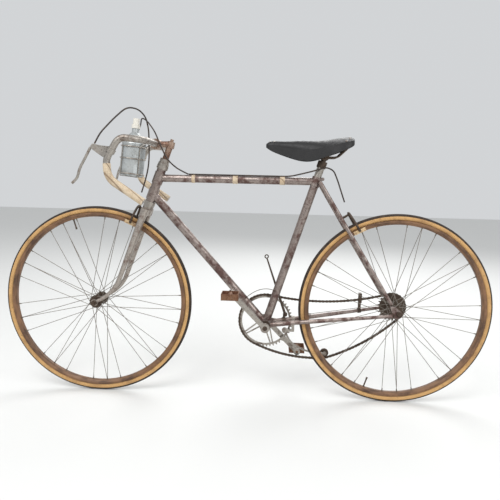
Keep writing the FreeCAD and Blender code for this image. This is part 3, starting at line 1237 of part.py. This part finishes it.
def check_and_write():
    doc.recompute()
    for item in doc.Objects:
        if "Invalid" in item.State or "Error" in item.State:
            raise RuntimeError(f"{item.Label} failed: {item.State}")
    os.makedirs("parts", exist_ok=True)
    for label, piece in nodes.items():
        shape = piece.Shape
        if shape.isNull() or not shape.isValid() or not shape.Solids:
            raise RuntimeError(f"{label} has no valid solid")
        shape.exportStep(os.path.join("parts", f"{label}.step"))
        print(f"{label}: {len(shape.Solids)} solids, {shape.Volume / 1000:.1f} cm3")


make_wheels()
make_freewheel()
make_chainring()
make_cranks()
make_chain()
make_frame()
make_fork()
make_stem()
make_handlebar()
brake_seat = make_brake_levers()
make_cables()
make_brakes()
make_bottle()
make_saddle()
make_gear_change()
check_and_write()
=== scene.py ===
"""Looks of an old steel racing bicycle, built round its CAD frame."""

import math

import bpy
from mathutils import Matrix, Vector


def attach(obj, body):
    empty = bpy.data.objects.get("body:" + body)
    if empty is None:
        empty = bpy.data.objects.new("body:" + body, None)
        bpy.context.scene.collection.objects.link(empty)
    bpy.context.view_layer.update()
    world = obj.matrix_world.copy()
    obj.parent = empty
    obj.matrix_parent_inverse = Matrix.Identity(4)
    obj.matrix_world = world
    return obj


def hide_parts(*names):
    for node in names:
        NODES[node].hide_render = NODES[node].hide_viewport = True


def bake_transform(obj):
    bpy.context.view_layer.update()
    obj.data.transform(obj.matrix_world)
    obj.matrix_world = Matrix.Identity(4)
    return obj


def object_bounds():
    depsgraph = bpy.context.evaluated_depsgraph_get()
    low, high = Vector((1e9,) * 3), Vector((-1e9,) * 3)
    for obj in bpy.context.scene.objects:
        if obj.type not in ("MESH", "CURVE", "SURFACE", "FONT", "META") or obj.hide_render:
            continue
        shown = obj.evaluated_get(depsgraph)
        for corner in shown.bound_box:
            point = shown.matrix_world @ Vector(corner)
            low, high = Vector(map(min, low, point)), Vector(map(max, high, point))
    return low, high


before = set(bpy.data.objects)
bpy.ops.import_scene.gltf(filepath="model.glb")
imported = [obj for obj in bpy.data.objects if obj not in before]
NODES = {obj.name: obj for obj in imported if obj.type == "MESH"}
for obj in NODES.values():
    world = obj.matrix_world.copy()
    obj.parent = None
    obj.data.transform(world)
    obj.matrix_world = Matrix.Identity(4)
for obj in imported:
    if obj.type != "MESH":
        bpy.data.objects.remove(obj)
CAD_LOW, CAD_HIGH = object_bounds()

# the bicycle's own millimetres: x back from the bottom bracket, y to the right, z up from the floor
ORIGIN = (189, 0, 925)
BRACKET = (0, 0, 273)
FRONT_HUB = (-608, 0, 340)
REAR_HUB = (456, 0, 340)
BAR_CLAMP = (-395.6, 0, 900.1)
TOP_TUBE_Z = 783.8
CHAIN_LINE = 43
CHAIN_PITCH = 12.7
ACROSS = Vector((0, 1, 0))


def at(x, y, z):
    """A place in the bicycle's own millimetres, as a point of the frame in metres."""
    return Vector(((x - ORIGIN[0]) / 1000, (y - ORIGIN[1]) / 1000, (z - ORIGIN[2]) / 1000))


# ---------------------------------------------------------------- materials

def srgb(red, green, blue):
    """Linear colour from 0 to 255 values."""
    def linear(value):
        value /= 255
        return value / 12.92 if value <= 0.04045 else ((value + 0.055) / 1.055) ** 2.4
    return (linear(red), linear(green), linear(blue), 1)


class Finish:
    """A procedural material, built up by adding layers of colour and relief."""

    def __init__(self, name, colour, metallic, roughness):
        self.material = bpy.data.materials.new(name)
        self.material.use_nodes = True
        self.tree = self.material.node_tree
        self.shader = self.tree.nodes["Principled BSDF"]
        self.shader.inputs["Metallic"].default_value = metallic
        self.shader.inputs["Roughness"].default_value = roughness
        self.shader.inputs["Base Color"].default_value = colour
        self.plain = colour
        self.colour = None
        self.where = self.add("ShaderNodeTexCoord").outputs["Object"]

    def add(self, kind):
        return self.tree.nodes.new(kind)

    def link(self, output, target):
        self.tree.links.new(output, target)

    def noise(self, scale, detail, stretch=(1, 1, 1)):
        """Cloudy pattern, stretched along each axis."""
        mapping = self.add("ShaderNodeMapping")
        mapping.inputs["Scale"].default_value = stretch
        self.link(self.where, mapping.inputs["Vector"])
        cloud = self.add("ShaderNodeTexNoise")
        cloud.inputs["Scale"].default_value = scale
        cloud.inputs["Detail"].default_value = detail
        cloud.inputs["Roughness"].default_value = 0.6
        self.link(mapping.outputs["Vector"], cloud.inputs["Vector"])
        return cloud.outputs["Fac"]

    def stripes(self, scale, direction, distortion=0.0):
        """Bands across the named axis."""
        wave = self.add("ShaderNodeTexWave")
        wave.wave_type = "BANDS"
        wave.bands_direction = direction
        wave.inputs["Scale"].default_value = scale
        wave.inputs["Distortion"].default_value = distortion
        wave.inputs["Detail"].default_value = 2
        self.link(self.where, wave.inputs["Vector"])
        return wave.outputs["Fac"]

    def spread(self, pattern, low, high, start, end):
        """The pattern's values from low to high, stretched to run from start to end."""
        stretch = self.add("ShaderNodeMapRange")
        stretch.inputs["From Min"].default_value = low
        stretch.inputs["From Max"].default_value = high
        stretch.inputs["To Min"].default_value = start
        stretch.inputs["To Max"].default_value = end
        self.link(pattern, stretch.inputs["Value"])
        return stretch.outputs["Result"]

    def layer(self, colour, pattern, low, high, amount=1.0):
        """A further colour over the earlier ones: none at the pattern's low value, amount at its high."""
        mix = self.add("ShaderNodeMix")
        mix.data_type = "RGBA"
        self.link(self.spread(pattern, low, high, 0, amount), mix.inputs["Factor"])
        if self.colour is None:
            mix.inputs["A"].default_value = self.plain
        else:
            self.link(self.colour, mix.inputs["A"])
        mix.inputs["B"].default_value = colour
        self.colour = mix.outputs["Result"]
        self.link(self.colour, self.shader.inputs["Base Color"])

    def vary(self, socket, pattern, low, high, start, end):
        """Roughness or metallic that follows the pattern."""
        self.link(self.spread(pattern, low, high, start, end), self.shader.inputs[socket])

    def relief(self, pattern, height, strength):
        """Bumps of the pattern, with their height in metres."""
        bump = self.add("ShaderNodeBump")
        bump.inputs["Distance"].default_value = height
        bump.inputs["Strength"].default_value = strength
        self.link(pattern, bump.inputs["Height"])
        before = self.shader.inputs["Normal"].links
        if before:
            self.link(before[0].from_socket, bump.inputs["Normal"])
        self.link(bump.outputs["Normal"], self.shader.inputs["Normal"])


def rusty_metal(name, bright, stain, rust, cover, roughness=0.3, metallic=0.9):
    """Plated or bare steel with brown stain over it and rust spots; cover moves the stain's edge."""
    finish = Finish(name, bright, metallic, roughness)
    blotch = finish.noise(38, 8)
    finish.layer(stain, blotch, 0.62 - cover, 0.78 - cover, 0.85)
    speck = finish.noise(330, 4)
    finish.layer(rust, speck, 0.56, 0.68, 0.8)
    finish.vary("Roughness", blotch, 0.35, 0.7, roughness, min(roughness + 0.3, 0.85))
    finish.vary("Metallic", blotch, 0.45, 0.75, metallic, metallic * 0.6)
    finish.relief(speck, 0.0002, 0.4)
    return finish.material


# each metal's bright, stain and rust colours, the stain's cover, then roughness and metallic if not the usual
METALS = {
    "frame_steel": (srgb(150, 138, 132), srgb(78, 50, 44), srgb(54, 28, 20), 0.17),
    "fork_steel": (srgb(168, 160, 152), srgb(96, 72, 62), srgb(66, 40, 28), 0.1),
    "bright_steel": (srgb(164, 158, 150), srgb(92, 72, 60), srgb(68, 42, 28), 0.1, 0.26),
    "stem_steel": (srgb(168, 146, 130), srgb(102, 66, 50), srgb(70, 36, 22), 0.16, 0.34),
    "dark_steel": (srgb(84, 72, 62), srgb(44, 34, 28), srgb(72, 42, 26), 0.1, 0.45, 0.7),
    "pedal_steel": (srgb(124, 92, 70), srgb(94, 52, 32), srgb(62, 32, 20), 0.16, 0.5, 0.6),
    "spoke_steel": (srgb(128, 122, 114), srgb(78, 62, 52), srgb(64, 40, 28), 0.08, 0.35, 0.8),
}


def wood():
    finish = Finish("wood", srgb(122, 88, 60), 0, 0.5)
    grain = finish.noise(20, 8, (1, 9, 1))
    finish.layer(srgb(74, 50, 34), grain, 0.42, 0.66)
    finish.layer(srgb(54, 38, 28), finish.noise(7, 5), 0.52, 0.72, 0.6)
    finish.layer(srgb(160, 124, 88), finish.noise(160, 5), 0.6, 0.75, 0.5)
    finish.vary("Roughness", grain, 0.3, 0.7, 0.38, 0.65)
    finish.relief(grain, 0.0003, 0.4)
    return finish.material


def tread():
    finish = Finish("tread", srgb(44, 32, 24), 0, 0.85)
    finish.layer(srgb(96, 78, 58), finish.noise(60, 8), 0.52, 0.75, 0.6)
    finish.layer(srgb(24, 18, 14), finish.noise(16, 5), 0.5, 0.7, 0.7)
    finish.relief(finish.noise(900, 3), 0.0004, 0.7)
    return finish.material


def sidewall():
    finish = Finish("sidewall", srgb(186, 144, 90), 0, 0.75)
    finish.layer(srgb(148, 110, 68), finish.noise(24, 8), 0.46, 0.66, 0.9)
    finish.layer(srgb(98, 70, 44), finish.noise(90, 8), 0.58, 0.72, 0.8)
    casing = finish.stripes(420, "DIAGONAL", 1.0)
    finish.layer(srgb(220, 186, 136), casing, 0.6, 1.0, 0.35)
    finish.relief(casing, 0.0002, 0.5)
    return finish.material


def leather():
    finish = Finish("leather", srgb(15, 14, 15), 0, 0.5)
    crease = finish.noise(70, 8)
    finish.layer(srgb(44, 38, 35), finish.noise(26, 8), 0.6, 0.78, 0.5)
    finish.vary("Roughness", crease, 0.3, 0.7, 0.45, 0.66)
    finish.relief(crease, 0.0006, 0.35)
    finish.relief(finish.noise(700, 3), 0.0002, 0.4)
    return finish.material


def cotton():
    """Bar tape: stained, wound in turns with painted shade in the grooves between them, with a fine weave."""
    finish = Finish("cotton", srgb(206, 188, 162), 0, 0.9)
    finish.layer(srgb(176, 150, 118), finish.noise(40, 8), 0.5, 0.7, 0.8)
    finish.layer(srgb(122, 98, 76), finish.noise(18, 6), 0.6, 0.76, 0.6)
    winding_and_groove_shade = finish.stripes(17, "DIAGONAL", 0.3)
    # painted shade: the tape colour darkens in the grooves between its turns
    finish.layer(srgb(118, 94, 72), winding_and_groove_shade, 0.14, 0.0, 0.75)
    finish.relief(winding_and_groove_shade, 0.0008, 0.6)
    finish.relief(finish.stripes(600, "X", 0.4), 0.0003, 0.5)
    finish.relief(finish.stripes(600, "Z", 0.4), 0.0003, 0.5)
    return finish.material


def bottle_metal():
    finish = Finish("bottle_metal", srgb(186, 190, 190), 0.8, 0.42)
    dull = finish.noise(30, 8)
    finish.layer(srgb(138, 138, 134), dull, 0.45, 0.7, 0.8)
    finish.layer(srgb(84, 76, 68), finish.noise(140, 6), 0.62, 0.74, 0.7)
    finish.vary("Roughness", dull, 0.3, 0.7, 0.34, 0.6)
    finish.relief(finish.noise(22, 3), 0.002, 0.3)
    return finish.material


def white_cap():
    finish = Finish("white_cap", srgb(214, 210, 200), 0, 0.45)
    finish.layer(srgb(160, 146, 124), finish.noise(80, 8), 0.56, 0.72, 0.7)
    return finish.material


def housing():
    finish = Finish("housing", srgb(50, 40, 34), 0, 0.6)
    finish.layer(srgb(98, 78, 60), finish.noise(60, 8), 0.52, 0.72, 0.8)
    finish.relief(finish.stripes(900, "DIAGONAL"), 0.0002, 0.5)
    return finish.material


def shoe():
    finish = Finish("shoe", srgb(196, 170, 132), 0, 0.8)
    finish.layer(srgb(112, 76, 52), finish.noise(70, 8), 0.46, 0.64, 0.9)
    finish.relief(finish.noise(300, 4), 0.0003, 0.6)
    return finish.material


FINISH = {name: rusty_metal(name, *values) for name, values in METALS.items()}
for make in (wood, tread, sidewall, leather, cotton, bottle_metal, white_cap, housing, shoe):
    FINISH[make.__name__] = make()


# ---------------------------------------------------------------- making pieces

def mesh_piece(name, points, faces, finish, body, smooth=True):
    """A new mesh that rides on a CAD body, or on none if body is None."""
    mesh = bpy.data.meshes.new(name)
    mesh.from_pydata([tuple(p) for p in points], [], faces)
    mesh.materials.append(FINISH[finish])
    if smooth:
        mesh.shade_smooth()
    piece = bpy.data.objects.new(name, mesh)
    bpy.context.scene.collection.objects.link(piece)
    if body:
        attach(piece, body)
    return piece


def row_quads(row, after, columns, last):
    """Quads between one row of points and the next, up to the last column."""
    quads = []
    for column in range(last):
        beside = (column + 1) % columns
        quads.append((row * columns + column, row * columns + beside,
                      after * columns + beside, after * columns + column))
    return quads


def capped_faces(rows, sides):
    """Quads between rings in a row, with both ends closed."""
    faces = []
    for row in range(rows - 1):
        faces.extend(row_quads(row, row + 1, sides, sides))
    faces.append(tuple(reversed(range(sides))))
    faces.append(tuple(range((rows - 1) * sides, rows * sides)))
    return faces


def ring(place, normal, other, radius, sides):
    """Points round a place, in the plane of two directions."""
    points = []
    for side in range(sides):
        angle = 2 * math.pi * side / sides
        points.append(place + (normal * math.cos(angle) + other * math.sin(angle)) * radius)
    return points


def tube_mesh(path, radius, sides):
    """Points and faces of a closed tube along a path."""
    points = []
    normal = None
    for number, place in enumerate(path):
        before = path[max(number - 1, 0)]
        after = path[min(number + 1, len(path) - 1)]
        direction = (after - before).normalized()
        if normal is None:
            normal = direction.orthogonal().normalized()
        normal = (normal - direction * normal.dot(direction)).normalized()
        points.extend(ring(place, normal, direction.cross(normal), radius, sides))
    return points, capped_faces(len(path), sides)


def turned_mesh(profile, start, direction, sides):
    """A solid of revolution: profile holds (distance along, radius) pairs in metres."""
    direction = direction.normalized()
    normal = direction.orthogonal().normalized()
    other = direction.cross(normal)
    points = []
    for along, radius in profile:
        points.extend(ring(start + direction * along, normal, other, radius, sides))
    return points, capped_faces(len(profile), sides)


def joined(parts):
    """Several meshes' points and faces as one."""
    points = []
    faces = []
    for more_points, more_faces in parts:
        offset = len(points)
        points.extend(more_points)
        faces.extend([tuple(offset + index for index in face) for face in more_faces])
    return points, faces


def nut_mesh(centre, direction, radius, thick):
    """A hexagonal nut standing on a place, with its edges broken."""
    edge = radius * 0.92
    profile = [(0, edge), (thick * 0.1, radius), (thick * 0.9, radius), (thick, edge)]
    return turned_mesh(profile, centre, direction, 6)


def dome_mesh(centre, direction, radius, height):
    """A round rivet head."""
    steps = 6
    profile = []
    for step in range(steps + 1):
        angle = math.pi / 2 * step / steps
        profile.append((height * math.sin(angle), max(radius * math.cos(angle), radius * 0.02)))
    return turned_mesh(profile, centre, direction, 20)


# ---------------------------------------------------------------- wheels

TYRE_SEGMENTS = 240
TYRE_SECTION = 0.0117
TYRE_MIDDLE = 0.340 - 0.012
TREAD_EDGE = 76
TREAD_STEPS = 16
TREAD_GROOVES = (5, 11)
WALL_DEGREES = range(62, 299, 8)
RIM_INSIDE = 0.3031


def outward(turn):
    return Vector((math.cos(turn), 0, math.sin(turn)))


def tyre_point(middle, out, angle, radius):
    """A point of the tyre's section, with the angle measured from the outermost line."""
    along = out * (TYRE_MIDDLE + radius * math.cos(angle))
    return middle + along + Vector((0, radius * math.sin(angle), 0))


def tread_radius(step):
    """The tread stands a little proud of the walls, with two grooves, and sinks into them at its edges."""
    rise = TYRE_SECTION + (0.0003 if 0 < step < TREAD_STEPS else -0.0004)
    return rise - (0.00045 if step in TREAD_GROOVES else 0)


def make_tyre(name, body, centre, node):
    """Sewn tyre: round side walls with a raised band of tread."""
    middle = at(*centre)
    wall_angles = [math.radians(degrees) for degrees in WALL_DEGREES]
    tread_angles = [math.radians(-TREAD_EDGE + step * TREAD_EDGE / 8) for step in range(TREAD_STEPS + 1)]
    wall_points = []
    tread_points = []
    for row in range(TYRE_SEGMENTS):
        out = outward(2 * math.pi * row / TYRE_SEGMENTS)
        for angle in wall_angles:
            wall_points.append(tyre_point(middle, out, angle, TYRE_SECTION))
        for step, angle in enumerate(tread_angles):
            tread_points.append(tyre_point(middle, out, angle, tread_radius(step)))
    wall_faces = []
    tread_faces = []
    for row in range(TYRE_SEGMENTS):
        after = (row + 1) % TYRE_SEGMENTS
        wall_faces.extend(row_quads(row, after, len(wall_angles), len(wall_angles)))
        tread_faces.extend(row_quads(row, after, len(tread_angles), TREAD_STEPS))
    wall = mesh_piece(name + "_walls", wall_points, wall_faces, "sidewall", body)
    band = mesh_piece(name + "_tread", tread_points, tread_faces, "tread", body)
    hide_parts(node)
    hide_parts(node)


def make_nipples(name, body, centre, spokes):
    """Ends of the spokes at the rim's inner face, one at each spoke's tip."""
    middle = at(*centre)
    near_rim = 0.2995
    tips = {}
    for vertex in NODES[spokes].data.vertices:
        away = vertex.co - middle
        if math.hypot(away.x, away.z) > near_rim:
            tips.setdefault(round(math.degrees(math.atan2(away.z, away.x)) / 5), []).append(away)
    profile = [(0, 0.0024), (0.001, 0.0024), (0.009, 0.0019), (0.010, 0.0014)]
    parts = []
    for group in tips.values():
        mean = sum(group, Vector()) / len(group)
        out = Vector((mean.x, 0, mean.z)).normalized()
        start = middle + out * RIM_INSIDE + Vector((0, mean.y, 0))
        parts.append(turned_mesh(profile, start, -out, 8))
    points, faces = joined(parts)
    mesh_piece(name, points, faces, "spoke_steel", body)


def make_valve(name, body, centre, degrees):
    """Valve stem standing in from the rim towards the hub."""
    out = outward(math.radians(degrees))
    start = at(*centre) + out * 0.3045
    profile = [(0, 0.004), (0.0035, 0.004), (0.004, 0.0026),
               (0.030, 0.0026), (0.0305, 0.0032), (0.038, 0.0032)]
    points, faces = turned_mesh(profile, start, -out, 16)
    mesh_piece(name, points, faces, "dark_steel", body)


make_tyre("front_tyre_new", "front_wheel", FRONT_HUB, "front_tyre")
make_tyre("rear_tyre_new", "rear_wheel", REAR_HUB, "rear_tyre")
make_nipples("front_nipples", "front_wheel", FRONT_HUB, "front_spokes")
make_nipples("rear_nipples", "rear_wheel", REAR_HUB, "rear_spokes")
make_valve("front_valve", "front_wheel", FRONT_HUB, 107)
make_valve("rear_valve", "rear_wheel", REAR_HUB, 252)

# ---------------------------------------------------------------- chain

RING_PITCH = 97.09
COG_PITCH = 48.65
PULLEY_PITCH = 20
BELLY = 500
RISE = 700
SAG = 900
PULLEY = Vector((220, 158.5))


def tangent_centre(first, first_distance, second, second_distance):
    """The point at two given distances from two centres, on the upper side of the line between them."""
    line = second - first
    along = (first_distance ** 2 - second_distance ** 2 + line.length_squared) / (2 * line.length)
    off = math.sqrt(first_distance ** 2 - along ** 2)
    unit = line.normalized()
    return first + unit * along + Vector((-unit.y, unit.x)) * off


def chain_circles():
    """Centres and radii of the chain's six arcs; the last, above the upper run, curves the other way."""
    bracket = Vector((BRACKET[0], BRACKET[2]))
    cog = Vector((REAR_HUB[0], REAR_HUB[2]))
    belly = tangent_centre(bracket, BELLY - RING_PITCH, PULLEY, BELLY - PULLEY_PITCH)
    rise = tangent_centre(PULLEY, RISE - PULLEY_PITCH, cog, RISE - COG_PITCH)
    sag = tangent_centre(bracket, SAG + RING_PITCH, cog, SAG + COG_PITCH)
    return [(bracket, RING_PITCH), (belly, BELLY), (PULLEY, PULLEY_PITCH), (rise, RISE),
            (cog, COG_PITCH), (sag, -SAG)]


def touching_point(circle, other):
    """Where two tangent circles meet, measured from the larger one's centre."""
    large, small = (circle, other) if abs(circle[1]) > abs(other[1]) else (other, circle)
    return large[0] + (small[0] - large[0]).normalized() * abs(large[1])


def chain_line():
    """Places half a millimetre apart or less along the chain's pitch line, in the chain's own plane."""
    circles = chain_circles()
    meets = [touching_point(circle, other) for circle, other in zip(circles, circles[1:] + circles[:1])]
    places = []
    for number, (centre, radius) in enumerate(circles):
        first = meets[number - 1] - centre
        last = meets[number] - centre
        start = math.atan2(first.y, first.x)
        turn = start - math.atan2(last.y, last.x)
        turn = -turn % (2 * math.pi) if radius > 0 else -(turn % (2 * math.pi))
        count = max(int(abs(turn * radius) / 0.5), 2)
        for part in range(count):
            angle = start + turn * part / count
            places.append(centre + Vector((math.cos(angle), math.sin(angle))) * abs(radius))
    return places


def chain_pins():
    """The pins, evenly spaced round the loop, an even number of them."""
    places = chain_line()
    lengths = [(places[(i + 1) % len(places)] - places[i]).length for i in range(len(places))]
    total = sum(lengths)
    count = round(total / CHAIN_PITCH / 2) * 2
    pins = []
    gone = 0.0
    index = 0
    for pin in range(count):
        target = total * pin / count
        while gone + lengths[index] < target:
            gone += lengths[index]
            index += 1
        share = (target - gone) / lengths[index]
        pins.append(places[index].lerp(places[(index + 1) % len(places)], share))
    return pins


def half_round(centre, axis, up, radius, first_angle):
    """Half a circle of points, from first_angle on."""
    points = []
    for step in range(7):
        angle = first_angle + math.pi * step / 6
        points.append(centre + (axis * math.cos(angle) + up * math.sin(angle)) * radius)
    return points


def plate_mesh(start, end, side):
    """One link plate: two round ends and a narrow waist, standing in the chain's plane."""
    half = 4.1
    thick = 0.65
    axis = (end - start).normalized()
    up = Vector((-axis.y, axis.x))
    middle = (start + end) / 2
    outline = half_round(start, axis, up, half, math.pi / 2)
    outline.append(middle - up * half * 0.72)
    outline += half_round(end, axis, up, half, -math.pi / 2)
    outline.append(middle + up * half * 0.72)
    count = len(outline)
    points = [at(p.x, side - thick / 2, p.y) for p in outline]
    points += [at(p.x, side + thick / 2, p.y) for p in outline]
    faces = [tuple(range(count)), tuple(reversed(range(count, 2 * count)))]
    for index in range(count):
        beside = (index + 1) % count
        faces.append((index, index + count, beside + count, beside))
    return points, faces


def make_chain():
    """Links in turn wide and narrow, with a pin and a roller at each joint."""
    pins = chain_pins()
    parts = []
    for number, pin in enumerate(pins):
        after = pins[(number + 1) % len(pins)]
        apart = 3.35 if number % 2 else 2.65
        for side in (-1, 1):
            parts.append(plate_mesh(pin, after, CHAIN_LINE + side * apart))
        pin_start = at(pin.x, CHAIN_LINE - 4, pin.y)
        roller_start = at(pin.x, CHAIN_LINE - 2.1, pin.y)
        parts.append(turned_mesh([(0, 0.0016), (0.008, 0.0016)], pin_start, ACROSS, 8))
        parts.append(turned_mesh([(0, 0.0035), (0.0042, 0.0035)], roller_start, ACROSS, 10))
    points, faces = joined(parts)
    chain = mesh_piece("chain_links", points, faces, "dark_steel", "frame", smooth=False)
    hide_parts("chain")


make_chain()

# ---------------------------------------------------------------- cable and bands

CABLE_RADIUS = 0.0025
# where the rear brake cable's free stretch runs, from the bar clamp
CABLE_LOOP = ((-151.8, 190, -16), (-135.8, 186, 20), (-104, 166, 76), (-84, 118, 100), (-56, 72, 90),
              (-26, 26, 64), (0, -20, 36), (23, -42, -6), (45, -38, -50), (74, -18, -80), (112, 0, -100.6))


def smooth_path(places, count):
    """A smooth curve through the places, with count steps between two of them."""
    path = []
    for index in range(len(places) - 1):
        before = places[max(index - 1, 0)]
        start = places[index]
        end = places[index + 1]
        after = places[min(index + 2, len(places) - 1)]
        for part in range(count):
            t = part / count
            straight = 2 * start + (end - before) * t
            bend = (2 * before - 5 * start + 4 * end - after) * t ** 2
            twist = (3 * start - before - 3 * end + after) * t ** 3
            path.append(0.5 * (straight + bend + twist))
    path.append(places[-1])
    return path


def make_cable_loop():
    """The rear brake cable's free stretch as one fixed tube on no body; the real cable bends as the handlebar
    turns.
    """
    clamp = Vector(BAR_CLAMP)
    path = smooth_path([clamp + Vector(place) for place in CABLE_LOOP], 12)
    points, faces = tube_mesh([at(*place) for place in path], CABLE_RADIUS, 12)
    loop = mesh_piece("rear_brake_cable_free", points, faces, "housing", None)
    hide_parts("rear_brake_cable_loop")
    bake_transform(loop)


def make_band(name, x_start, x_end):
    """A band of tape wrapped round the top tube in turns."""
    radius = 0.0139
    start = at(x_start, 0, TOP_TUBE_Z)
    end = at(x_end, 0, TOP_TUBE_Z)
    length = (end - start).length
    turns = max(int(length / 0.004), 3)
    profile = []
    for turn in range(turns):
        along = length * turn / turns
        profile.append((along, radius - 0.0003))
        profile.append((along + length / turns * 0.5, radius + 0.0004))
    profile.append((length, radius - 0.0003))
    points, faces = turned_mesh(profile, start, end - start, 40)
    mesh_piece(name, points, faces, "cotton", "frame")


make_cable_loop()
make_band("tube_band_front", -271, -259)
make_band("tube_band_middle", -127, -109.5)
make_band("tube_band_rear", 36.5, 54)

# ---------------------------------------------------------------- finishes of the CAD nodes

# nodes that aren't named here are dark steel
CHOICE = {
    "frame_steel": ("head_tube", "frame_lugs", "top_tube", "down_tube", "seat_tube", "bottom_bracket_shell",
                    "chainstays", "seatstays", "seatstay_bridge", "rear_dropouts"),
    "fork_steel": ("fork_crown", "fork_blades", "fork_ends"),
    "stem_steel": ("stem",),
    "bright_steel": ("steerer", "handlebar", "chainring", "cranks", "bottle_cage", "brake_levers",
                     "brake_lever_hoods", "headset_cups", "headset_locknuts", "seatpost", "tension_arm"),
    "pedal_steel": ("left_pedal", "right_pedal", "pedal_axles"),
    "spoke_steel": ("front_spokes", "rear_spokes"),
    "wood": ("front_rim", "rear_rim"),
    "tread": ("front_tyre", "rear_tyre"),
    "leather": ("saddle_cover",),
    "cotton": ("bar_tape",),
    "bottle_metal": ("bottle",),
    "white_cap": ("bottle_stopper",),
    "shoe": ("front_brake_shoes", "rear_brake_shoes"),
    "housing": ("front_brake_cable", "rear_brake_cable", "rear_brake_cable_loop"),
}

finish_of = {node: finish for finish, members in CHOICE.items() for node in members}
for node, piece in NODES.items():
    piece.data.materials.clear()
    piece.data.materials.append(FINISH[finish_of.get(node, "dark_steel")])

# ---------------------------------------------------------------- small pieces

NUT_RADIUS = 0.0104
NUT_THICK = 0.0072
# rivets from the seat point, in millimetres: three at the nose, six along the rear edge
RIVETS = ((-190, 0), (-176, 7), (-176, -7), (62, 66), (62, -66), (76, 44), (76, -44), (80, 18), (80, -18))


def make_nuts(name, body, hub, side_distance):
    """The two nuts of an axle."""
    parts = []
    for side in (-1, 1):
        centre = at(hub[0], side * side_distance, hub[2])
        parts.append(nut_mesh(centre, Vector((0, side, 0)), NUT_RADIUS, NUT_THICK))
    points, faces = joined(parts)
    mesh_piece(name, points, faces, "dark_steel", body, smooth=False)


def make_saddle_rivets():
    """Domed rivets standing on the leather."""
    parts = []
    for x, y in RIVETS:
        above = Vector((x, y, 100)) / 1000
        found, place, normal, _ = NODES["saddle_cover"].ray_cast(above, Vector((0, 0, -1)))
        if found:
            parts.append(dome_mesh(place - normal * 0.0004, normal, 0.0042, 0.0018))
    points, faces = joined(parts)
    mesh_piece("saddle_rivets", points, faces, "bright_steel", "frame")


def make_wire():
    """The thin bent wire from the down tube over to the seat tube."""
    start = Vector((-76, -13, 364))
    peak = Vector((-16, -20, 424))
    end = Vector((39, -13, 393))
    steps = 24
    path = []
    for step in range(steps + 1):
        share = step / steps
        path.append(at(*(start * (1 - share) ** 2 + peak * 2 * share * (1 - share) + end * share ** 2)))
    points, faces = tube_mesh(path, 0.0011, 10)
    mesh_piece("frame_wire", points, faces, "dark_steel", "frame")


make_nuts("rear_axle_nuts", "frame", REAR_HUB, 69.3)
make_nuts("front_axle_nuts", "steering", FRONT_HUB, 52.3)
make_saddle_rivets()
make_wire()

# ---------------------------------------------------------------- floor, light and camera

FLOOR_HALF = 12
LIGHTS_AIM = (-0.2, 0, -0.4)
# each lamp's place, power and size
LAMPS = {
    "key": ((-1.6, -2.6, 2.6), 110, 2.4),
    "fill": ((2.6, -2.2, 1.2), 50, 2.5),
    "back": ((0.6, 2.8, 2.2), 80, 2.5),
}
CAMERA_PLACE = (-0.167, -1.757, -0.158)
CAMERA_PITCH = math.radians(7.4)
CAMERA_YAW = math.radians(-2.72)
CAMERA_ROLL = math.radians(1.36)


def make_floor():
    """A plain pale floor under the wheels."""
    corners = [(-1, -1), (1, -1), (1, 1), (-1, 1)]
    mesh = bpy.data.meshes.new("floor")
    mesh.from_pydata([(x * FLOOR_HALF, y * FLOOR_HALF, CAD_LOW.z) for x, y in corners], [], [(0, 1, 2, 3)])
    mesh.materials.append(Finish("floor", srgb(222, 222, 220), 0, 0.8).material)
    floor = bpy.data.objects.new("floor", mesh)
    bpy.context.scene.collection.objects.link(floor)


def make_lights():
    """Soft studio light from three large lamps and a pale surround."""
    world = bpy.data.worlds.new("studio")
    world.use_nodes = True
    surround = world.node_tree.nodes["Background"]
    surround.inputs["Color"].default_value = (0.86, 0.88, 0.9, 1)
    surround.inputs["Strength"].default_value = 0.75
    bpy.context.scene.world = world
    for name, (place, power, size) in LAMPS.items():
        lamp = bpy.data.lights.new(name, "AREA")
        lamp.energy = power
        lamp.size = size
        light = bpy.data.objects.new(name, lamp)
        light.location = place
        light.rotation_euler = (Vector(LIGHTS_AIM) - Vector(place)).to_track_quat("-Z", "Y").to_euler()
        bpy.context.scene.collection.objects.link(light)


def make_camera():
    """The camera on the bicycle's left, turned a little to the front and tilted down."""
    ahead = Vector((math.sin(CAMERA_YAW) * math.cos(CAMERA_PITCH),
                    math.cos(CAMERA_YAW) * math.cos(CAMERA_PITCH), -math.sin(CAMERA_PITCH)))
    right = Vector((math.cos(CAMERA_YAW), -math.sin(CAMERA_YAW), 0))
    up = right.cross(ahead)
    rolled_right = right * math.cos(CAMERA_ROLL) + up * math.sin(CAMERA_ROLL)
    rolled_up = up * math.cos(CAMERA_ROLL) - right * math.sin(CAMERA_ROLL)
    lens = bpy.data.cameras.new("camera")
    lens.lens = 36
    lens.sensor_width = 36
    camera = bpy.data.objects.new("camera", lens)
    turn = Matrix((rolled_right, rolled_up, -ahead)).transposed().to_4x4()
    camera.matrix_world = Matrix.Translation(CAMERA_PLACE) @ turn
    bpy.context.scene.collection.objects.link(camera)
    bpy.context.scene.camera = camera


make_floor()
make_lights()
make_camera()
bpy.context.scene.view_settings.view_transform = "Standard"
